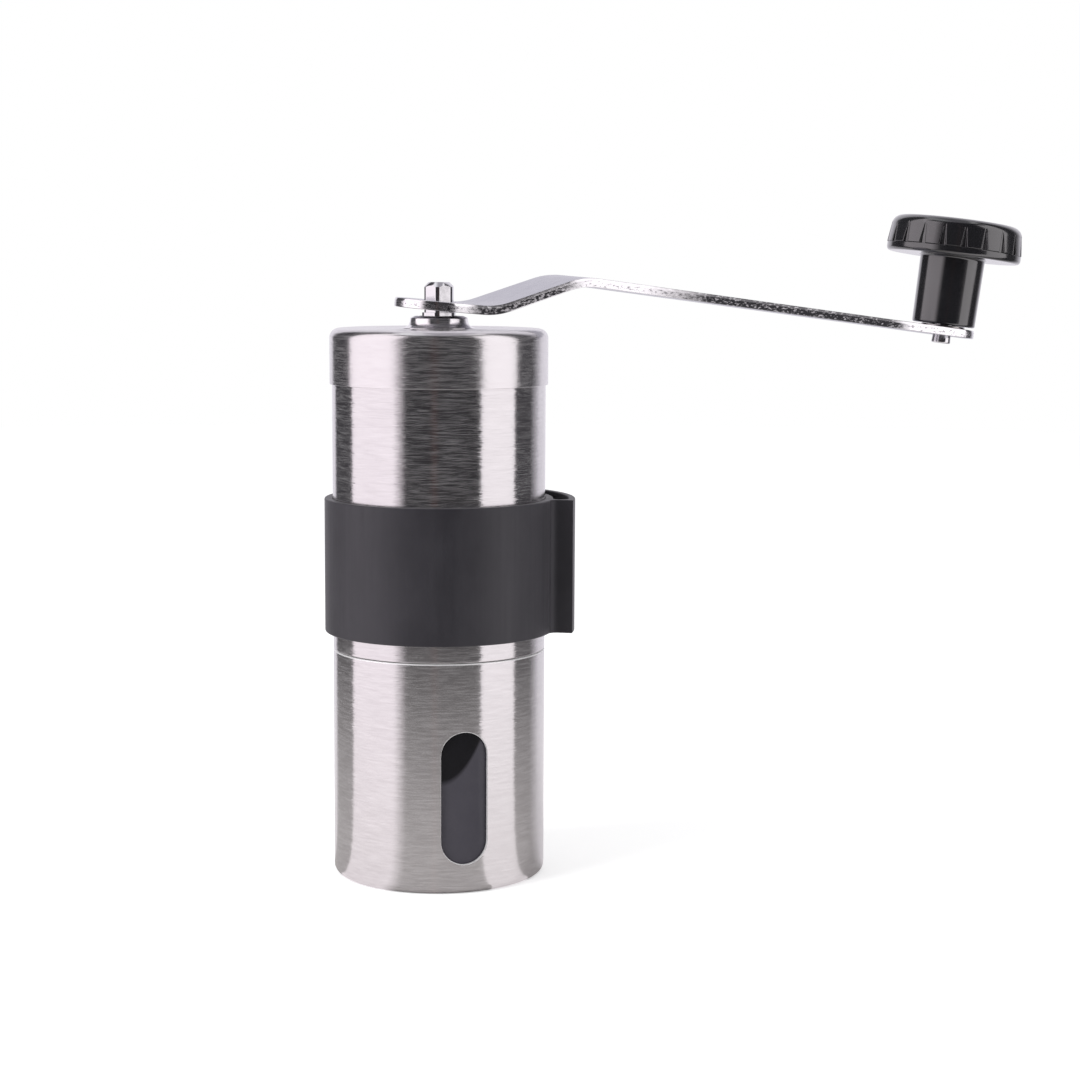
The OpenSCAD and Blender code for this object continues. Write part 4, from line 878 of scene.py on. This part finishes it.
KNOB_X = BEND_X + RAMP_L * cos(radians(RAMP)) + LONG_L * cos(radians(FALL))
KNOB_Z = RAMP_L * sin(radians(RAMP)) - LONG_L * sin(radians(FALL))
arm_place = (turn_z(CRANK_ANGLE) @ Matrix.Translation((0, 0, ARM_Z * MM))
             @ Matrix.Rotation(radians(DROOP), 4, "Y") @ Matrix.Rotation(radians(ROLL), 4, "X"))
knob_place = (arm_place @ Matrix.Translation((KNOB_X * MM, 0, KNOB_Z * MM))
              @ Matrix.Rotation(radians(FALL), 4, "Y") @ Matrix.Translation((0, 0, ARM_T / 2 * MM)))


def arm_shape():
    """Strip cut flat with its two holes, then bent: its cut edge keeps its own finish."""
    lean = degrees(asin((HUB_R - TIP_R) / KNOB_X))
    outer = arc((0, 0), HUB_R, 90 - lean, 270 + lean) + arc((KNOB_X, 0), TIP_R, lean - 90, 90 - lean)
    hex_r = 6.92 / 2 / cos(radians(30))
    hex_hole = [on_circle(hex_r, a) for a in range(360, 0, -60)]
    rivet_hole = arc((KNOB_X, 0), 2.35, 360, 8, 8)
    # the press drew the upper rim of the strip into a narrow sloping face
    rims = round_levels(0.2, -ARM_T / 2)
    rims += [(0, 0.4), (0, 0.45), (0.012, 0.5), (0.112, 0.88), (0.13, 0.93), (0.17, 1.0), (0.23, 1.04), (0.3, 1.05), (0.35, 1.05)]
    bm = slab([outer, hex_hole, rivet_hole], rims)
    cuts = [BEND_X - 4 + 0.5 * i for i in range(17)] + [BEND_X + RAMP_L * cos(radians(RAMP)) - 4.5 + 0.5 * i for i in range(19)]
    cuts += [19 + 2.0 * i for i in range(4)] + [40 + 10 * i for i in range(9)]
    for x in cuts:
        bmesh.ops.bisect_plane(bm, geom=bm.verts[:] + bm.edges[:] + bm.faces[:], plane_co=(x * MM, 0, 0), plane_no=(1, 0, 0))
    for face in bm.faces:
        centre = face.calc_center_median() / MM
        on_rim = centre.xy.length > 5 and (centre.xy - Vector((KNOB_X, 0))).length > 4
        face.material_index = (1 if abs(face.normal.z) < 0.15 else 2 if abs(face.normal.z) < 0.98 else 0) if on_rim else 0
    for v in bm.verts:
        x, z = v.co.x / MM, v.co.z / MM
        height, slope = arm_heights(x)
        v.co.x, v.co.z = (x - z * sin(slope)) * MM, (height + z * cos(slope)) * MM
    return put(bm, arm_place)


piece("crank_arm_bent", arm_shape(), [crank_plating, crank_edge, crank_corner], "arm", "crank_plating", "crank_arm", sharp=35)

rivet = lathe(rounded([(0, -4.1), (2.45, -4.1, 0.35), (2.3, -2.1), (2.3, 0), (3, 0), (3, 20.9), (5, 20.9, 0.2),
                       (5, 23.3, 0.4), (0, 23.3)], 5), 64)
piece("knob_bolt_riveted", put(rivet, knob_place), shaft_steel, "arm", "shaft_steel", "knob_bolt")
washer = lathe(rounded([(3.05, 0, 0.08), (5.5, 0, 0.12), (5.5, 0.5, 0.12), (3.05, 0.5, 0.08)], 3), 96)
piece("knob_washer_stamped", put(washer, knob_place), spring_steel, "arm", "spring_steel", "knob_washer")


# Knob

def smooth_step(x):
    x = max(0.0, min(1.0, x))
    return x * x * (3 - 2 * x)


def knob_sector():
    """One pitch of the knob with a groove down its middle, which widens and deepens towards the bead."""
    bore, top_round = 3.08, 2.6
    z0, z1 = HEAD_Z0 + BEAD_H, HEAD_Z1 - top_round
    top_z = z0 + PAD_H + 0.6
    below = rounded([(bore, 0.6, 0.2), (STEM_R, 0.6, 0.5), (STEM_TOP_R, HEAD_Z0, 0.5), (BEAD_R, HEAD_Z0, 0.95),
                     (BEAD_R, z0 - 0.02, 0.2), (DRUM_R + 0.3, z0 - 0.02), (DRUM_R + 0.3, HEAD_Z1), (bore, HEAD_Z1)], 8)[:-3]
    above = rounded([(16.0, HEAD_Z1), (9.0, HEAD_Z1, 0.15), (9.0, HEAD_Z1 - 1.8), (5.8, HEAD_Z1 - 1.8, 0.1), (5.8, 20.8),
                     (bore, 20.8, 0.1)], 5)[1:]
    wall = [(HEAD_R - 0.13, z0), (HEAD_R - 0.04, z0 + 0.05), (HEAD_R, z0 + 0.14)]
    wall += [(HEAD_R + (DRUM_R - HEAD_R) * ((z - z0) / (z1 - z0)) ** 1.15, z)
             for z in [z0 + 0.3 + (z1 - z0 - 0.3) * i / 13 for i in range(14)]]
    wall += [(DRUM_R - top_round + x, z1 + y) for x, y in
             (on_circle(top_round, a) for a in (5, 10, 15, 20, 25, 31, 38, 46, 54, 62, 70, 78, 85, 90))]
    half = pi / PAD_COUNT
    near = [0, 0.35, 0.6, 0.76, 0.88, 0.97, 1.06, 1.18, 1.34, 1.55]
    bm = bmesh.new()
    rings = []
    for r, z in below + wall + above:
        share = max(0.0, min(1.0, (z - z0) / PAD_H))
        slot = (NOTCH_W + (NOTCH_TOP_W - NOTCH_W) * share) / 2
        grooved = (r, z) in wall
        floor_r = DRUM_R - 0.12
        depth = max(0.0, r - floor_r) * smooth_step((top_z - z) / 1.3) if grooved else 0.0
        columns = [slot * n / HEAD_R for n in near]
        columns += [columns[-1] + (half - columns[-1]) * k / 4 for k in range(1, 5)]
        sides = [-1.0 * c for c in reversed(columns[1:])] + columns
        ring = []
        for angle in sides:
            off = abs(angle) * HEAD_R / slot
            cut = r - depth * (1 - smooth_step((off - 0.62) / 0.62))
            ring.append(bm.verts.new((cut * cos(angle) * MM, cut * sin(angle) * MM, z * MM)))
        rings.append(ring)
    rings.append(rings[0])
    for a, b in zip(rings, rings[1:]):
        for k in range(len(a) - 1):
            bm.faces.new((a[k], a[k + 1], b[k + 1], b[k]))
    return bm


sector = loose(knob_sector(), "knob_sector")
knob = bmesh.new()
knob.from_mesh(grown(sector, ring_of_copies, copies=PAD_COUNT, first_turn=radians(PAD_TURN), seam=0.002 * MM, finish=knob_gloss))
bmesh.ops.recalc_face_normals(knob, faces=knob.faces)
piece("knob_fluted", put(knob, knob_place), knob_gloss, "knob", "knob_plastic", "knob", sharp=50)
cap = lathe(rounded([(0, HEAD_Z1 - 1.8), (8.95, HEAD_Z1 - 1.8), (8.95, HEAD_Z1, 0.3), (0, HEAD_Z1)], 4))
piece("knob_cap_pressed", put(cap, knob_place), knob_gloss, "knob", "knob_plastic", "knob_cap")


# Floor, lights and camera

# Heights of a direction, of which 1 is straight up, between which the dark gap and the roof come in
GAP_RISE, ROOF_RISE = (0.79, 0.82), (0.89, 0.92)
# Metres from the grinder between which the floor, as the metal sees it, takes on painted light and dark in the pattern
# of the boxes
FLOOR_TURN = (0.05, 0.38)


def direction_round(tree, parts):
    """Angle round the grinder from the front towards +X."""
    return calc(tree, "ARCTAN2", parts.outputs["X"], calc(tree, "MULTIPLY", parts.outputs["Y"], -1.0))


def studio_bands(tree, angle):
    """Colours of the two bright boxes and the dark cards between and beyond them, by their direction."""
    share = spread(tree, angle, 0.0, 1.0, -pi, pi)
    ramp = add_node(tree, "ShaderNodeValToRGB", {0: share})
    back, dark, card = (0.66, 0.64, 0.69, 1), (0.028, 0.027, 0.03, 1), (0.05, 0.048, 0.053, 1)
    left, right, warm = (1.0, 0.93, 0.98, 1), (1.0, 0.96, 0.985, 1), (0.062, 0.04, 0.038, 1)
    stops = [(-180, back), (-152, back), (-145, card), (-108, card), (-106, left), (-50, left), (-36, dark), (-9, dark),
             (-5, warm), (-1, dark), (44.8, dark), (46.4, right), (88, right), (90, card), (116, card), (138, back), (180, back)]
    while len(ramp.color_ramp.elements) < len(stops):
        ramp.color_ramp.elements.new(0.5)
    for element, (angle, colour) in zip(ramp.color_ramp.elements, stops):
        element.position = (angle + 180) / 360
        element.color = colour
    return ramp.outputs[0]


@finish_maker
def floor_finish(tree):
    """Pale floor that the camera sees as white where no shadow lies. The metal sees it pale near the
    grinder, and farther out glowing with painted light and dark in the pattern of the boxes and cards, standing in for
    their light falling there."""
    path = add_node(tree, "ShaderNodeLightPath")
    parts = split(tree, own_coords(tree))
    reach = vector_calc(tree, "LENGTH", own_coords(tree))
    far = spread(tree, reach, 0.43, 1.0, *FLOOR_TURN)
    # near its foot the body throws its mirror image of the boxes aside, so the edges of the painted bands lean back
    # there
    angle = direction_round(tree, parts)
    aside = calc(tree, "SINE", calc(tree, "MULTIPLY", angle, 0.5))
    leant = calc(tree, "MULTIPLY_ADD", aside, calc(tree, "DIVIDE", BODY_R * MM, reach), angle)
    matt = add_node(tree, "ShaderNodeBsdfDiffuse", {"Color": (0.86, 0.86, 0.865, 1)})
    warm = add_node(tree, "ShaderNodeBsdfDiffuse", {"Color": (0.9, 0.865, 0.85, 1)})
    # painted light: the floor glows in the bands of the boxes, seen only in reflections
    lit = add_node(tree, "ShaderNodeEmission", {"Color": studio_bands(tree, leant), "Strength": 1.3})
    glossy_painted_light = mix_shader(tree, far, warm, lit)
    surface = mix_shader(tree, path.outputs["Is Glossy Ray"], matt, glossy_painted_light)
    glow = add_node(tree, "ShaderNodeEmission", {"Color": (1, 1, 1, 1), "Strength": 0.37})
    both = add_node(tree, "ShaderNodeAddShader", {0: matt.outputs[0], 1: glow.outputs[0]})
    whole = mix_shader(tree, path.outputs["Is Camera Ray"], surface, both)
    end_shader(tree, "ShaderNodeOutputMaterial", whole)


floor = loose(lathe([(0, 0), (1500, 0), (1500, -2), (0, -2)], 96), "floor")
floor.data.materials.append(floor_finish("studio_floor"))


def studio_world():
    """White surround for the camera, an even light on matt pieces, and a studio of soft boxes and dark
    cards for the metal, with a dark gap above them and two panels overhead."""
    world = bpy.data.worlds.new("studio")
    bpy.context.scene.world = world
    world.use_nodes = True
    tree = world.node_tree
    tree.nodes.clear()
    path = add_node(tree, "ShaderNodeLightPath")
    coords = add_node(tree, "ShaderNodeTexCoord")
    parts = split(tree, coords.outputs["Generated"])
    high = calc(tree, "MULTIPLY", spread(tree, parts.outputs["Z"], 0.0, 1.0, *GAP_RISE),
                spread(tree, parts.outputs["Y"], 1.0, 0.0, -0.15, 0.0))
    bands = studio_bands(tree, direction_round(tree, parts))
    gap = blend_colour(tree, high, bands, (0.015, 0.015, 0.017, 1))
    centre = spread(tree, parts.outputs["X"], 0.0, 1.0, -0.3, -0.05)
    beside = spread(tree, parts.outputs["X"], 0.0, 1.0, 0.28, 0.36)
    roof = blend_colour(tree, centre, (0.85, 0.85, 0.88, 1), (0.32, 0.31, 0.34, 1))
    roof = blend_colour(tree, beside, roof, (0.95, 0.94, 0.96, 1))
    shine = blend_colour(tree, spread(tree, parts.outputs["Z"], 0.0, 1.0, *ROOF_RISE), gap, roof)
    boxes = add_node(tree, "ShaderNodeBackground", {"Color": shine, "Strength": 1.35})
    even = add_node(tree, "ShaderNodeBackground", {"Color": (1, 1, 1, 1), "Strength": 0.7})
    blank = add_node(tree, "ShaderNodeBackground", {"Color": (1, 1, 1, 1), "Strength": 1.0})
    lit = mix_shader(tree, path.outputs["Is Glossy Ray"], even, boxes)
    clear = calc(tree, "MAXIMUM", path.outputs["Is Camera Ray"], path.outputs["Is Transmission Ray"])
    whole = mix_shader(tree, clear, lit, blank)
    end_shader(tree, "ShaderNodeOutputWorld", whole)


def soft_light(name, place, aim, size, watts, colour=(1, 1, 1)):
    data = bpy.data.lights.new(name, "AREA")
    data.shape, data.size, data.size_y, data.energy, data.color = "RECTANGLE", size[0], size[1], watts, colour
    lamp = link(bpy.data.objects.new(name, data))
    lamp.location = place
    lamp.rotation_euler = (Vector(aim) - Vector(place)).to_track_quat("-Z", "Y").to_euler()
    lamp.visible_camera = False
    lamp.visible_glossy = False


studio_world()
soft_light("key_light", (-0.75, -0.45, 0.65), (0, 0, 0.07), (0.5, 0.7), 7.0)
soft_light("fill_light", (0.8, -0.5, 0.5), (0, 0, 0.07), (0.5, 0.5), 2.3)

pitch, yaw, roll = radians(6.846), radians(2.519), radians(0.275)
sight = Vector((sin(yaw) * cos(pitch), cos(yaw) * cos(pitch), -sin(pitch)))
level = Vector((cos(yaw), -sin(yaw), 0))
upward = level.cross(sight)
right = level * cos(roll) + upward * sin(roll)
upward = upward * cos(roll) - level * sin(roll)
camera = link(bpy.data.objects.new("camera", bpy.data.cameras.new("camera")))
camera.data.sensor_width, camera.data.lens = 36.0, 76.96
camera.data.clip_start, camera.data.clip_end = 0.01, 20.0
camera.matrix_world = Matrix((right, upward, -sight)).transposed().to_4x4()
camera.location = (0, -0.53126, 0.14137)
bpy.context.scene.camera = camera
bpy.context.scene.view_settings.view_transform = "Standard"
